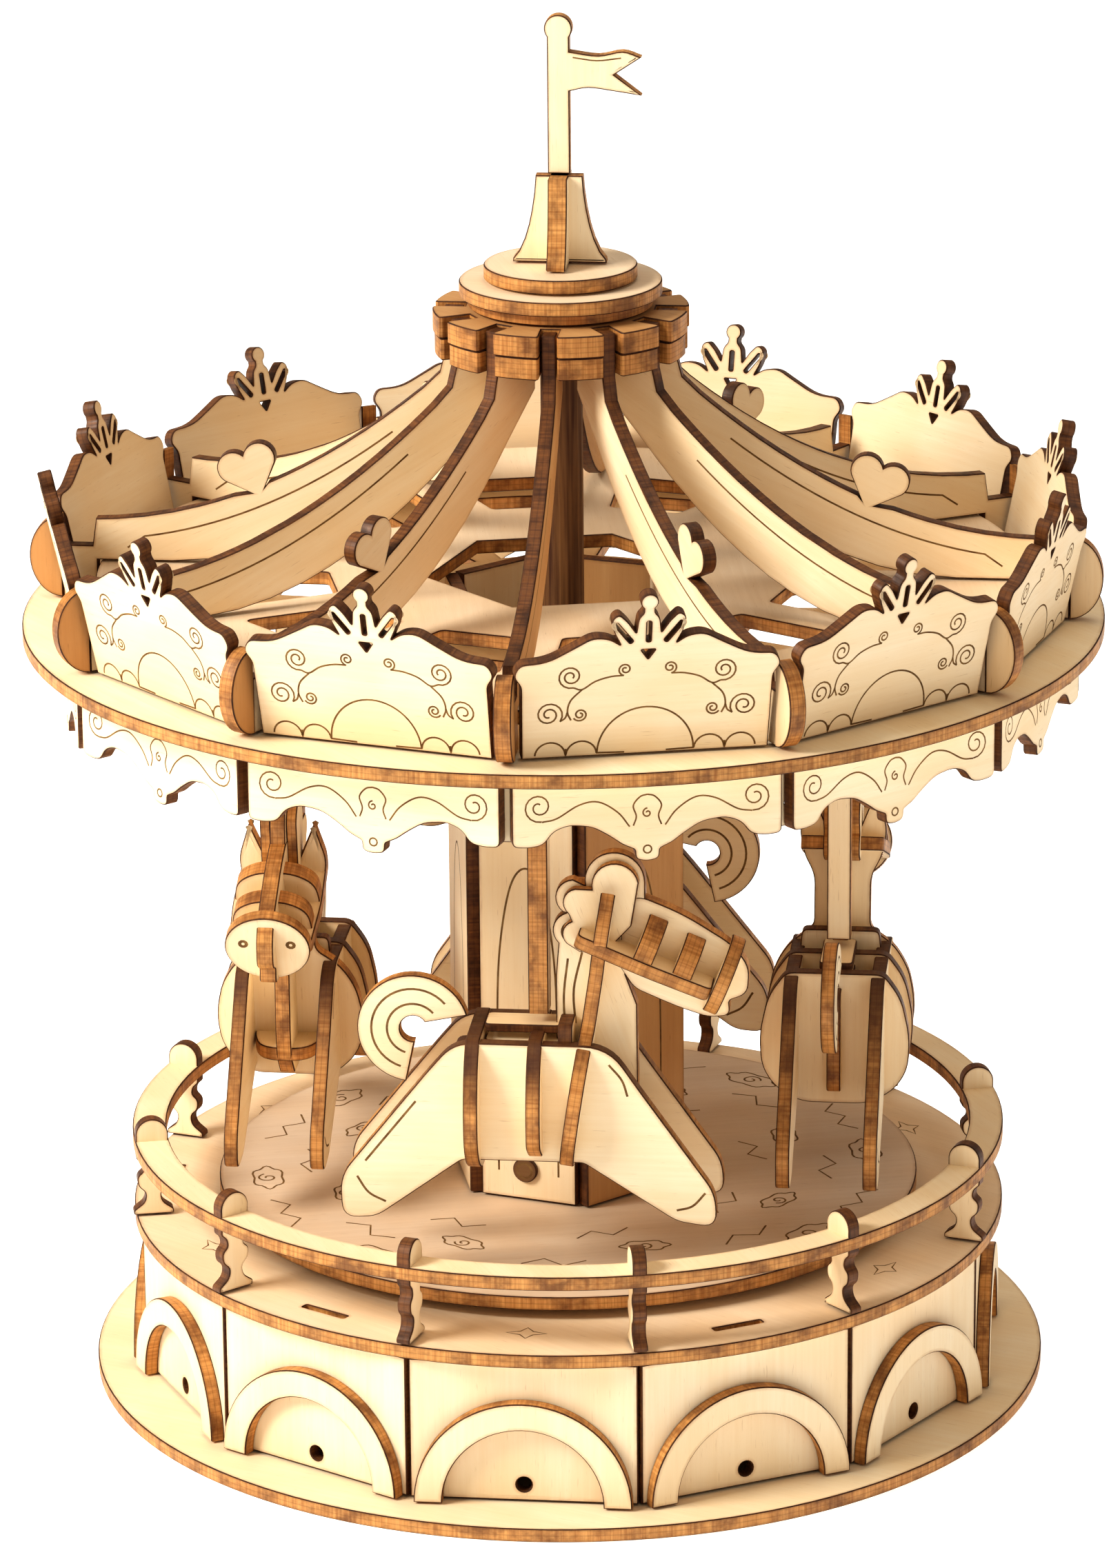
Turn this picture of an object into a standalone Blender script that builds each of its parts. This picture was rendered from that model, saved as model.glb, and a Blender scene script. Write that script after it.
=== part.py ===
"""Tabletop merry go round, slotted together from thin laser-cut plywood.

Metres, +Z up.  The origin is on the axis of rotation, at the underside of the base plate.
An azimuth is measured from -Y towards +X, so a plate at azimuth 0 faces -Y.
"""
import math

import bmesh
import bpy
from mathutils import Matrix

# ---------------------------------------------------------------- driving dimensions, in mm
MM = 0.001
PLY = 2.0                  # thickness of every sheet piece
GAP = 0.3                  # clearance between neighbouring pieces
SIDES = 12
STEP = 360.0 / SIDES
HALF_STEP = math.radians(STEP / 2)

BASE_R = 69.5
DRUM_TOP = 23.1
DRUM_FACE = 60.6           # distance of a drum panel's outer face from the axis
ARCH_OUTER = 15.3
ARCH_INNER = 11.3
PANEL_HOLE_R = 1.1
PANEL_HOLE_Z = 2.4

STAGE_R = 63.5
STAGE_Z = 23.4
SLOT_R = 58.0
SLOT_LENGTH = 7.4
SLOT_WIDTH = 1.2

RAIL_OUTER = 63.5
RAIL_INNER = 58.6
RAIL_Z = 35.0
RAIL_DOME = 1.0            # straight part of a baluster's tab above the rail

WASHER_R = 9.0
WASHER_Z = 25.7
WASHER_THICK = 0.9
SPINDLE_R = 2.5
BORE_R = 2.8
SPINDLE_TOP = 113.7

DECK_R = 51.0
DECK_Z = 26.9
COLUMN_R = 18.2            # circumradius of the hexagonal column
COLUMN_TOP = 117.3
CAP_WEB_Z = 112.0          # underside of the web that the spindle turns in

CANOPY_R = 77.0
CANOPY_Z = 112.0
CANOPY_WINDOW_INNER = 27.0
CANOPY_WINDOW_OUTER = 59.0
CANOPY_WINDOW_HALF = 10.5  # half of a window's angle, in degrees
SKIRT_FACE = 71.2          # outer face of a valance panel
SKIRT_DROP = 9.2
SKIRT_RISE = 6.5
PENDANT_DROP = 12.0

ROOF_R = 66.5
ROOF_Z = 117.6
ROOF_HOLE_R = 19.6
ROOF_WINDOW_INNER = 33.0
ROOF_WINDOW_OUTER = 50.0
SPOKE_WIDTH = 7.0

CROWN_FACE = 69.4          # outer face of a crown panel at its foot
CROWN_LEAN = 12.0
CROWN_FOOT_HALF = 16.6
CROWN_TOP_HALF = 17.8
CROWN_SIDE = 14.2
CROWN_SHOULDER = 17.6
CROWN_TIP = 24.0

RIB_FOOT_R = 66.3
RIB_TOP_LOW = 126.0
RIB_TOP_RISE = 20.2
RIB_TOP_FAR = 68.0
RIB_TOP_SPAN = 48.3
RIB_UNDER_RISE = 8.8
RIB_UNDER_FAR = 56.0
RIB_UNDER_SPAN = 26.6
RIB_INNER_R = 7.5
RIB_TONGUE_INNER = 13.8
RIB_TONGUE_OUTER = 16.4
HEART_R = 44.6             # where a heart stands on its rib

HUB_Z = 152.0
HUB_R = 18.1
HUB_HEIGHT = 6.3
NOTCH_INNER = 13.4
MAST_R = 3.0
NECK_R = 13.0
CAP_LARGE_R = 14.3
CAP_SMALL_R = 10.8
CAP_Z = 158.6

FINIAL_Z = 164.8
FINIAL_HEIGHT = 12.4
FINIAL_FOOT_HALF = 6.6
FINIAL_TOP_HALF = 3.3
FLAG_Z = 177.5
FLAG_POLE_HALF = 1.55
FLAG_TOP = 200.0
FLAG_HEAD_R = 1.95

HORSE_R = 39.6             # distance of a horse's middle plane from the axis
SIDE_OFFSET = 6.2          # a horse's side plates, from its middle plane
RUMP_X = -8.2              # the two cross slices of a horse's body
HEAD_X = 7.1               # where the head's axis starts
HEAD_Z = 79.4
HEAD_SLOPE = 22.0
HEAD_LENGTH = 23.6
BODY_TOP = 64.8
BELLY = 47.5
HORSE_DROP = 2.2           # how much lower the two side horses hang
POLE_WIDTH = 3.4
POLE_THICK = 2.8
POLE_FOOT = 67.4
POLE_X = 0.5

PARTS = "merry_go_round"


# ---------------------------------------------------------------- scene and materials
def clear_scene():
    for item in list(bpy.data.objects):
        bpy.data.objects.remove(item, do_unlink=True)


def collection(name):
    group = bpy.data.collections.new(name)
    bpy.context.scene.collection.children.link(group)
    return group


def plywood(name, colour):
    material = bpy.data.materials.new(name)
    material.use_nodes = True
    shader = material.node_tree.nodes["Principled BSDF"]
    shader.inputs["Base Color"].default_value = (*colour, 1.0)
    shader.inputs["Roughness"].default_value = 0.62
    shader.inputs["Metallic"].default_value = 0.0
    return material


clear_scene()
GROUP = collection(PARTS)
PALE = (0.80, 0.62, 0.40)
TAN = (0.66, 0.45, 0.25)
BROWN = (0.42, 0.23, 0.09)


# ---------------------------------------------------------------- outlines, in mm
def arc(centre, radius, start, end, steps):
    """Points along a circular arc, angles in degrees, both ends included."""
    points = []
    for i in range(steps + 1):
        angle = math.radians(start + (end - start) * i / steps)
        points.append((centre[0] + radius * math.cos(angle), centre[1] + radius * math.sin(angle)))
    return points


def circle(radius, steps, centre=(0.0, 0.0)):
    return arc(centre, radius, 0.0, 360.0, steps)[:-1]


def ellipse(half_width, half_height, steps, centre=(0.0, 0.0)):
    return [(centre[0] + half_width * x, centre[1] + half_height * y) for x, y in circle(1.0, steps)]


def rectangle(half_width, low, high):
    return [(-half_width, low), (half_width, low), (half_width, high), (-half_width, high)]


def polygon(radius, count, first):
    return [(radius * math.cos(math.radians(first + 360.0 * k / count)),
             radius * math.sin(math.radians(first + 360.0 * k / count))) for k in range(count)]


def mirrored(half):
    """A closed outline from its right half, listed from the bottom to the top."""
    return half + [(-x, y) for x, y in reversed(half) if x > 1e-6]


def turned(outline, degrees, shift=(0.0, 0.0)):
    c = math.cos(math.radians(degrees))
    s = math.sin(math.radians(degrees))
    return [(c * x - s * y + shift[0], s * x + c * y + shift[1]) for x, y in outline]


# ---------------------------------------------------------------- solids
def sheet(outline, holes=(), thick=PLY):
    """A flat piece in the XY plane, its middle plane at z = 0, as an object not yet placed."""
    flat = bpy.data.curves.new("outline", "CURVE")
    flat.dimensions = "2D"
    flat.fill_mode = "BOTH"
    flat.extrude = thick / 2 * MM
    for loop in (outline, *holes):
        spline = flat.splines.new("POLY")
        spline.points.add(len(loop) - 1)
        for point, (x, y) in zip(spline.points, loop):
            point.co = (x * MM, y * MM, 0.0, 1.0)
        spline.use_cyclic_u = True
    curve = bpy.data.objects.new("outline", flat)
    GROUP.objects.link(curve)
    graph = bpy.context.evaluated_depsgraph_get()
    mesh = bpy.data.meshes.new_from_object(curve.evaluated_get(graph))
    bpy.data.objects.remove(curve)
    bpy.data.curves.remove(flat)
    weld(mesh)
    piece = bpy.data.objects.new("sheet", mesh)
    GROUP.objects.link(piece)
    return piece


def weld(mesh):
    work = bmesh.new()
    work.from_mesh(mesh)
    bmesh.ops.remove_doubles(work, verts=work.verts, dist=0.000001)
    bmesh.ops.recalc_face_normals(work, faces=work.faces)
    work.to_mesh(mesh)
    work.free()


def lathe(profile, steps):
    """A turned solid about Z from (radius, height) pairs on its outer side, top to bottom."""
    mesh = bpy.data.meshes.new("profile")
    verts = [(r * MM, 0.0, z * MM) for r, z in profile]
    mesh.from_pydata(verts, [(i, i + 1) for i in range(len(verts) - 1)], [])
    piece = bpy.data.objects.new("turned", mesh)
    GROUP.objects.link(piece)
    screw = piece.modifiers.new("Screw", "SCREW")
    screw.steps = steps
    screw.render_steps = steps
    screw.use_merge_vertices = True
    screw.merge_threshold = 0.00001
    return fixed(piece)


def fixed(piece):
    """The same object with its modifiers turned into mesh."""
    graph = bpy.context.evaluated_depsgraph_get()
    mesh = bpy.data.meshes.new_from_object(piece.evaluated_get(graph))
    piece.modifiers.clear()
    piece.data = mesh
    weld(mesh)
    return piece


def move(piece, matrix):
    piece.data.transform(matrix)
    return piece


def combine(first, others):
    """The union of some solids, as one closed solid."""
    for other in others:
        boolean = first.modifiers.new("Boolean", "BOOLEAN")
        boolean.operation = "UNION"
        boolean.solver = "EXACT"
        boolean.object = other
    fixed(first)
    for other in others:
        bpy.data.objects.remove(other)
    return first


def offset(x=0.0, y=0.0, z=0.0):
    return Matrix.Translation((x * MM, y * MM, z * MM))


# ---------------------------------------------------------------- placing
def axis_empty(name):
    empty = bpy.data.objects.new(name, None)
    GROUP.objects.link(empty)
    return empty


BASE = axis_empty("base_frame")
CAROUSEL = axis_empty("carousel_axis")


def finish(piece, name, parent, colour, smooth=False):
    piece.name = name
    piece.data.name = name
    piece.data.materials.clear()
    piece.data.materials.append(plywood(name + "_wood", colour))
    piece.parent = parent
    if smooth:
        piece.data.shade_smooth()
        piece.data.set_sharp_from_angle(angle=math.radians(35))
    return piece


def copy_of(piece):
    twin = bpy.data.objects.new(piece.name, piece.data)
    GROUP.objects.link(twin)
    return twin


def lay(piece, low, height=PLY):
    """Puts a horizontal sheet so that its underside is at the height `low`."""
    piece.location = (0.0, 0.0, (low + height / 2) * MM)
    return piece


def face_out(piece, azimuth, face, low, lean=0.0):
    """Stands a sheet upright, its outer face at `face` from the axis at the height `low`.

    The sheet's own X runs along the tangent and its own Y runs up.
    """
    angle = math.radians(azimuth)
    tilt = math.radians(lean)
    middle = face - PLY / 2 * math.cos(tilt)
    piece.rotation_euler = (math.pi / 2 + tilt, 0.0, angle)
    piece.location = (middle * math.sin(angle) * MM, -middle * math.cos(angle) * MM,
                      (low + PLY / 2 * math.sin(tilt)) * MM)
    return piece


def stand_radial(piece, azimuth):
    """Stands a sheet in the plane through the axis: its X is the radius, its Y the height."""
    piece.rotation_euler = (math.pi / 2, 0.0, math.radians(azimuth - 90.0))
    return piece


def upright(azimuth):
    return Matrix.Rotation(math.radians(azimuth), 4, "Z") @ Matrix.Rotation(math.pi / 2, 4, "X")


# ---------------------------------------------------------------- base
def base_plate():
    finish(lay(sheet(circle(BASE_R, 84)), 0.0), "base_plate", BASE, PALE)


def drum_panels():
    """Twelve flat panels, each with a half-round arch on its outer face and a small hole."""
    width = (DRUM_FACE - PLY) * math.tan(HALF_STEP) - GAP / 2
    height = DRUM_TOP - PLY - GAP
    hole = circle(PANEL_HOLE_R, 10, (0.0, PANEL_HOLE_Z))
    panel = sheet(rectangle(width, 0.0, height), [hole])
    arch = arc((0, 0), ARCH_OUTER, 0, 180, 14) + arc((0, 0), ARCH_INNER, 180, 0, 12)
    moulding = move(sheet(arch, thick=PLY + 0.1), offset(z=PLY - 0.05))
    combine(panel, [moulding])
    for k in range(SIDES):
        piece = copy_of(panel)
        face_out(piece, STEP * k, DRUM_FACE, PLY + GAP)
        finish(piece, f"drum_panel_{k + 1:02d}", BASE, PALE)
    bpy.data.objects.remove(panel)


def stage_plate():
    """The disc on the drum, with short slots over every other panel."""
    slots = []
    for k in range(0, SIDES, 2):
        slot = [(x, y - SLOT_R) for x, y in rectangle(SLOT_LENGTH / 2, -SLOT_WIDTH / 2, SLOT_WIDTH / 2)]
        slots.append(turned(slot, STEP * (k + 1)))
    plate = sheet(circle(STAGE_R, 84), [circle(BORE_R, 18), *slots])
    finish(lay(plate, STAGE_Z), "stage_plate", BASE, PALE)


def baluster_outline():
    """A turned silhouette with a flared foot and a round-topped tab, from the stage upwards."""
    foot = STAGE_Z + PLY + GAP
    width = (RAIL_OUTER - RAIL_INNER) / 2
    half = [(3.0, foot), (2.7, foot + 0.8), (1.5, foot + 2.2), (1.2, foot + 3.8), (2.1, foot + 5.0),
            (2.2, foot + 6.0), (1.4, foot + 7.2), (width - 0.1, RAIL_Z - 0.4), (width - 0.1, RAIL_Z + 1.0),
            (width - 0.1, RAIL_Z + PLY + RAIL_DOME)]
    dome = arc((0, RAIL_Z + PLY + RAIL_DOME), width - 0.1, 0, 90, 4)[1:-1]
    half += dome + [(0.0, RAIL_Z + PLY + RAIL_DOME + width - 0.1)]
    middle = (RAIL_OUTER + RAIL_INNER) / 2
    return [(x + middle, y) for x, y in mirrored(half)]


def rail_fence():
    """The ring rail and its twelve balusters, slotted together."""
    rail = sheet(circle(RAIL_OUTER, 84), [circle(RAIL_INNER, 84)])
    move(rail, offset(z=RAIL_Z + PLY / 2))
    posts = []
    for k in range(SIDES):
        posts.append(move(sheet(baluster_outline()), upright(STEP * k + STEP / 2 - 90.0)))
    finish(combine(rail, posts), "rail_fence", BASE, TAN)


def bearing():
    foot = PLY + GAP
    rod = lathe([(0.0, SPINDLE_TOP), (SPINDLE_R, SPINDLE_TOP), (SPINDLE_R, foot), (0.0, foot)], 20)
    finish(rod, "spindle", BASE, BROWN, smooth=True)
    washer = sheet(circle(WASHER_R, 32), [circle(BORE_R, 18)], WASHER_THICK)
    finish(lay(washer, WASHER_Z, WASHER_THICK), "bearing_washer", BASE, TAN)


# ---------------------------------------------------------------- deck, column and canopy
def deck():
    plate = sheet(circle(DECK_R, 72), [circle(BORE_R, 18)])
    finish(lay(plate, DECK_Z), "deck", CAROUSEL, TAN)


def column():
    """The hexagonal tube, with a bored web near its top for the spindle."""
    foot = DECK_Z + PLY + GAP
    height = COLUMN_TOP - foot
    inner = COLUMN_R - PLY / math.cos(math.radians(30))
    tube = sheet(polygon(COLUMN_R, 6, -75), [polygon(inner, 6, -75)], height)
    move(tube, offset(z=foot + height / 2))
    web = move(sheet(polygon(inner + 0.4, 6, -75), [circle(BORE_R, 18)]), offset(z=CAP_WEB_Z + PLY / 2))
    finish(combine(tube, [web]), "column", CAROUSEL, PALE)


def canopy_window(half, steps):
    """One window: an annular sector centred on -Y."""
    outer = arc((0, 0), CANOPY_WINDOW_OUTER, -90 - half, -90 + half, steps)
    inner = arc((0, 0), CANOPY_WINDOW_INNER, -90 + half, -90 - half, steps // 2)
    return outer + inner


def canopy_disc():
    """The disc over the horses: twelve windows, with a spoke over every pole and under every rib."""
    windows = [turned(canopy_window(CANOPY_WINDOW_HALF, 4), STEP * k + STEP / 2) for k in range(SIDES)]
    hole = polygon(COLUMN_R + GAP, 6, -75)
    plate = sheet(circle(CANOPY_R, 96), [hole, *windows])
    finish(lay(plate, CANOPY_Z), "canopy_disc", CAROUSEL, PALE)


def skirt_half():
    """Right half of a valance panel below its top edge, from the pendant out to the corner."""
    width = SKIRT_FACE * math.tan(HALF_STEP) + 0.05
    return [(0.0, -PENDANT_DROP), (1.3, -PENDANT_DROP + 0.9), (1.6, -9.9), (3.2, -9.0), (5.2, -7.0),
            (8.0, -SKIRT_RISE), (11.0, -SKIRT_RISE - 0.6), (13.2, -SKIRT_RISE - 0.9),
            (14.6, -8.8), (16.2, -SKIRT_DROP), (width, -SKIRT_DROP), (width, 0.0)]


def valance_skirt():
    """Twelve scalloped panels meeting at their corners under the canopy disc."""
    half = skirt_half()
    outline = [(-x, y) for x, y in reversed(half[1:])] + half
    panels = []
    for k in range(SIDES):
        place = upright(STEP * k + STEP / 2) @ offset(y=CANOPY_Z - GAP, z=SKIRT_FACE - PLY / 2)
        panels.append(move(sheet(outline), place))
    finish(combine(panels[0], panels[1:]), "valance_skirt", CAROUSEL, PALE)


def roof_window():
    """A window between two ribs: straight sides that leave a spoke of even width."""
    half = math.tan(HALF_STEP)
    side = SPOKE_WIDTH / 2 / math.cos(HALF_STEP)
    inner = ROOF_WINDOW_INNER * half - side
    outer_y = ROOF_WINDOW_OUTER * math.cos(HALF_STEP * 0.7)
    outer = outer_y * half - side
    return [(-inner, -ROOF_WINDOW_INNER), (-outer, -outer_y), (-outer * 0.4, -ROOF_WINDOW_OUTER),
            (outer * 0.4, -ROOF_WINDOW_OUTER), (outer, -outer_y), (inner, -ROOF_WINDOW_INNER)]


def roof_plate():
    windows = [turned(roof_window(), STEP * k + STEP / 2) for k in range(SIDES)]
    hole = polygon(ROOF_HOLE_R, 6, -45)
    plate = sheet(circle(ROOF_R, 72), [hole, *windows])
    finish(lay(plate, ROOF_Z), "roof_plate", CAROUSEL, PALE)


def crown_outline():
    """A crown panel: low corners, shoulders, and a petal ornament with a round tip."""
    half = [(CROWN_FOOT_HALF, 0.0), (CROWN_TOP_HALF - 0.3, CROWN_SIDE - 1.2),
            (CROWN_TOP_HALF - 1.0, CROWN_SIDE), (CROWN_TOP_HALF - 4.0, CROWN_SIDE + 0.2),
            (11.5, 15.4), (8.6, CROWN_SHOULDER - 0.4), (6.2, CROWN_SHOULDER), (4.6, 17.0), (3.4, 17.4),
            (4.8, 19.4), (4.2, 20.6), (2.6, 19.9), (1.5, 19.0), (1.1, 21.4), (1.5, 22.6), (0.9, 23.7),
            (0.0, CROWN_TIP)]
    return mirrored(half)


def crown_panels():
    hole = [(-0.9, 15.6), (0.9, 15.6), (0.0, 14.2)]
    panel = sheet(crown_outline(), [hole])
    for k in range(SIDES):
        piece = copy_of(panel)
        face_out(piece, STEP * k + STEP / 2, CROWN_FACE, CANOPY_Z + PLY + GAP, CROWN_LEAN)
        finish(piece, f"crown_panel_{k + 1:02d}", CAROUSEL, PALE)
    bpy.data.objects.remove(panel)


# ---------------------------------------------------------------- ribs, hub and top
def rib_top(radius):
    return RIB_TOP_LOW + RIB_TOP_RISE * ((RIB_TOP_FAR - radius) / RIB_TOP_SPAN) ** 2


def rib_under(radius):
    reach = max(RIB_UNDER_FAR - radius, 0.0)
    return ROOF_Z + PLY + GAP + RIB_UNDER_RISE * (reach / RIB_UNDER_SPAN) ** 2


def heart():
    """Two lobes on a stem, from the foot of its right side round to the foot of its left."""
    lobe = 2.35
    right = arc((2.0, 1.4), lobe, -35, 148, 7)
    left = arc((-2.0, 1.4), lobe, 32, 215, 7)
    return [(0.9, -3.0)] + right + left[1:] + [(-0.9, -3.0)]


def rib_outline(hearted):
    """A curved rib with the tongue that enters the hub and the fin outside the crown."""
    shelf = CANOPY_Z + PLY + GAP
    fin = [(72.2, shelf), (75.4, shelf)] + arc((71.6, shelf + 6.1), 5.3, -48, 62, 6)
    fin += [(71.4, RIB_TOP_LOW - 0.6), (RIB_TOP_FAR, RIB_TOP_LOW)]
    over = [(r, rib_top(r)) for r in (60.0, 52.0, 47.0)]
    if hearted:
        slope = math.atan(2 * RIB_TOP_RISE * (RIB_TOP_FAR - HEART_R) / RIB_TOP_SPAN ** 2)
        over += turned(heart(), -math.degrees(slope), (HEART_R, rib_top(HEART_R) + 2.6))
    over += [(r, rib_top(r)) for r in (42.0, 37.0, 30.0, 24.0, 20.0)]
    tongue = [(RIB_TONGUE_OUTER + 0.8, 148.6), (RIB_TONGUE_OUTER, 151.7), (RIB_TONGUE_OUTER, 158.0),
              (RIB_TONGUE_INNER, 158.0), (RIB_TONGUE_INNER, HUB_Z - GAP), (RIB_INNER_R, HUB_Z - GAP)]
    under = [(RIB_INNER_R, 148.0)] + [(r, rib_under(r)) for r in (14.0, 20.0, 28.0, 36.0, 45.0, 56.0)]
    foot = [(RIB_FOOT_R + 0.6, rib_under(60.0)), (RIB_FOOT_R + 0.6, shelf)]
    return fin + over + tongue + under + foot


def ribs():
    plain = sheet(rib_outline(False))
    hearted = sheet(rib_outline(True))
    for k in range(SIDES):
        piece = copy_of(hearted if k % 2 else plain)
        stand_radial(piece, STEP * k)
        finish(piece, f"rib_{k + 1:02d}", CAROUSEL, TAN)
    bpy.data.objects.remove(plain)
    bpy.data.objects.remove(hearted)


def notched_disc():
    """A disc with a notch for each rib's tongue."""
    half = PLY / 2 + GAP
    outline = []
    for k in range(SIDES):
        lip = math.degrees(math.asin(half / HUB_R))
        outline += turned([(NOTCH_INNER, -half), (NOTCH_INNER, half)], STEP * k)
        outline += arc((0, 0), HUB_R, STEP * k + lip, STEP * (k + 1) - lip, 4)
    return outline


def hub_and_caps():
    hub = sheet(notched_disc(), [circle(MAST_R + GAP, 18)], HUB_HEIGHT)
    finish(lay(hub, HUB_Z, HUB_HEIGHT), "hub_ring", CAROUSEL, BROWN)
    foot = CAP_WEB_Z + PLY + GAP
    top = HUB_Z + HUB_HEIGHT
    mast = lathe([(0.0, top), (MAST_R, top), (MAST_R, foot), (0.0, foot)], 20)
    finish(mast, "mast", CAROUSEL, TAN, smooth=True)
    rim = CAP_Z + 1.6
    large = lathe([(0.0, rim + PLY), (CAP_LARGE_R, rim + PLY), (CAP_LARGE_R, rim), (NECK_R, rim),
                   (NECK_R, CAP_Z), (0.0, CAP_Z)], 48)
    finish(large, "cap_large", CAROUSEL, TAN)
    finish(lay(sheet(circle(CAP_SMALL_R, 40)), rim + PLY + GAP), "cap_small", CAROUSEL, TAN)


def finial():
    """Two flared fins crossing on the axis."""
    top = FINIAL_Z + FINIAL_HEIGHT
    half = [(FINIAL_FOOT_HALF, FINIAL_Z), (FINIAL_FOOT_HALF - 0.8, FINIAL_Z + 1.2),
            (4.7, FINIAL_Z + 3.4), (3.9, FINIAL_Z + 6.4), (3.4, FINIAL_Z + 9.4), (FINIAL_TOP_HALF, top)]
    outline = mirrored(half)
    front = move(sheet(outline), upright(0.0))
    side = move(sheet(outline), upright(90.0))
    finish(combine(front, [side]), "finial", CAROUSEL, TAN)


def flag():
    """A flat pole with a round head and a swallow-tailed flag."""
    head = FLAG_TOP - FLAG_HEAD_R
    outline = [(-FLAG_POLE_HALF, FLAG_Z), (FLAG_POLE_HALF, FLAG_Z), (FLAG_POLE_HALF, 189.6),
               (4.5, 189.9), (8.0, 189.2), (11.6, 188.7), (7.6, 191.8), (11.6, 194.2), (8.0, 194.9),
               (4.5, 194.3), (FLAG_POLE_HALF, 194.6)]
    outline += arc((0.0, head), FLAG_HEAD_R, -37, 217, 9)
    piece = sheet(outline)
    piece.rotation_euler = (math.pi / 2, 0.0, 0.0)
    finish(piece, "flag", CAROUSEL, PALE)


# ---------------------------------------------------------------- horses
# A horse is modelled heading +X about its own middle plane, heights measured from the origin.
def body_side():
    """Body and splayed slab legs of a galloping horse, seen from the outside."""
    return [(-26.4, 39.4), (-25.4, 38.4), (-22.4, 38.7), (-9.6, BELLY), (7.2, BELLY), (20.2, 39.6),
            (23.0, 38.8), (25.6, 40.4), (25.4, 43.4), (15.2, 57.8), (13.4, 60.6), (10.6, 63.6),
            (7.0, BODY_TOP), (-9.4, BODY_TOP), (-13.0, 63.8), (-15.6, 61.4)]


def body_slice(low):
    """Cross slice of the body: a barrel, wide until close to its top."""
    high = BODY_TOP + 2.0
    return mirrored([(5.0, low), (8.0, low + 1.6), (10.4, 50.0), (10.9, 56.0), (9.2, 63.0), (6.8, high)])


def neck_slice():
    """Cross slice of chest, neck and head, in its own slanted plane."""
    half = [(5.4, 46.6), (9.4, 50.6), (10.9, 56.0), (9.6, 61.6), (6.6, 65.6), (4.1, 68.4),
            (3.9, 74.6), (5.0, 77.0), (6.4, 79.6), (6.6, 82.4), (5.4, 84.8), (3.0, 86.0)]
    return mirrored(half)


def mane_plate():
    """Middle plate: neck with a lobed mane behind it and a forelock on top."""
    mane = arc((6.6, 88.2), 3.2, 60, 190, 5) + arc((5.3, 83.2), 2.6, 110, 250, 5)
    mane += arc((5.1, 78.2), 2.6, 110, 250, 5) + [(2.7, 73.0), (2.9, 64.2)]
    return mane + [(8.6, 64.2), (10.8, 74.0), (15.0, 76.6), (16.4, 83.0), (14.0, 87.6), (11.4, 90.6)]


def head_plate():
    """Middle plate of the head: a long curved nose, a round muzzle and a chin."""
    return [(12.0, 74.4), (19.0, 72.0), (23.6, 69.4), (26.8, 68.8), (29.0, 70.0), (29.6, 72.4),
            (28.6, 75.0), (24.6, 79.0), (19.6, 82.4), (14.0, 84.6)]


def tail_ring():
    """A thick open ring, its gap at the lower front, joined to the body."""
    outer = arc((-17.3, 64.4), 7.9, 12, 262, 14)
    inner = arc((-17.3, 64.4), 3.6, 262, 12, 8)
    return outer + inner


def horse_plates():
    """The plates of one horse, all overlapping where the real ones are cross-lapped."""
    plates = []
    for y in (-SIDE_OFFSET, SIDE_OFFSET):
        plates.append(move(sheet(body_side()), offset(y=y) @ upright(0.0)))
    for x, low in ((RUMP_X, 44.5), (POLE_X, 45.4)):
        plates.append(move(sheet(body_slice(low)), offset(x=x) @ upright(90.0)))
    lean = Matrix.Rotation(math.radians(8.5), 4, "Y")
    neck = offset(x=4.6, z=46.0) @ lean @ offset(z=-46.0) @ upright(90.0)
    plates.append(move(sheet(neck_slice()), neck))
    spine = [(RUMP_X - 3.0, BELLY - 1.5), (7.0, BELLY - 1.5), (7.0, BODY_TOP + 1.4), (RUMP_X - 3.0, BODY_TOP + 1.4)]
    plates.append(move(sheet(spine, thick=PLY + 0.4), upright(0.0)))
    plates.append(move(sheet(tail_ring()), upright(0.0)))
    plates.append(move(sheet(mane_plate(), thick=PLY + 0.2), upright(0.0)))
    plates.append(move(sheet(head_plate(), thick=PLY + 0.6), upright(0.0)))
    slope = offset(x=HEAD_X, z=HEAD_Z) @ Matrix.Rotation(math.radians(HEAD_SLOPE), 4, "Y")
    jaw = ellipse(HEAD_LENGTH / 2, 5.8, 16, (HEAD_LENGTH / 2, 0.0))
    plates.append(move(sheet(jaw), slope))
    for along, radius in ((10.4, 6.3), (18.6, 5.6)):
        plates.append(move(sheet(circle(radius, 16)), slope @ offset(x=along) @ upright(90.0)))
    return plates


def horses():
    """Four galloping horses a quarter turn apart, each under its pole; the two at the sides hang lower."""
    plates = horse_plates()
    source = combine(plates[0], plates[1:])
    for k, name in enumerate(("front", "right", "back", "left")):
        angle = math.radians(90.0 * k)
        drop = HORSE_DROP * (k % 2)
        height = CANOPY_Z - GAP - (POLE_FOOT - drop)
        section = [(POLE_X + x, y) for x, y in rectangle(POLE_THICK / 2, -POLE_WIDTH / 2, POLE_WIDTH / 2)]
        pole = move(sheet(section, thick=height), offset(z=POLE_FOOT - drop + height / 2))
        for piece, label, colour, lift in ((copy_of(source), "horse_", PALE, -drop), (pole, "pole_", TAN, 0.0)):
            piece.rotation_euler = (0.0, 0.0, angle)
            piece.location = (HORSE_R * math.sin(angle) * MM, -HORSE_R * math.cos(angle) * MM, lift * MM)
            finish(piece, label + name, CAROUSEL, colour)
    bpy.data.objects.remove(source)


def main():
    base_plate()
    drum_panels()
    stage_plate()
    rail_fence()
    bearing()
    deck()
    column()
    canopy_disc()
    valance_skirt()
    roof_plate()
    crown_panels()
    ribs()
    hub_and_caps()
    finial()
    flag()
    horses()


main()
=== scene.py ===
import math

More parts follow.
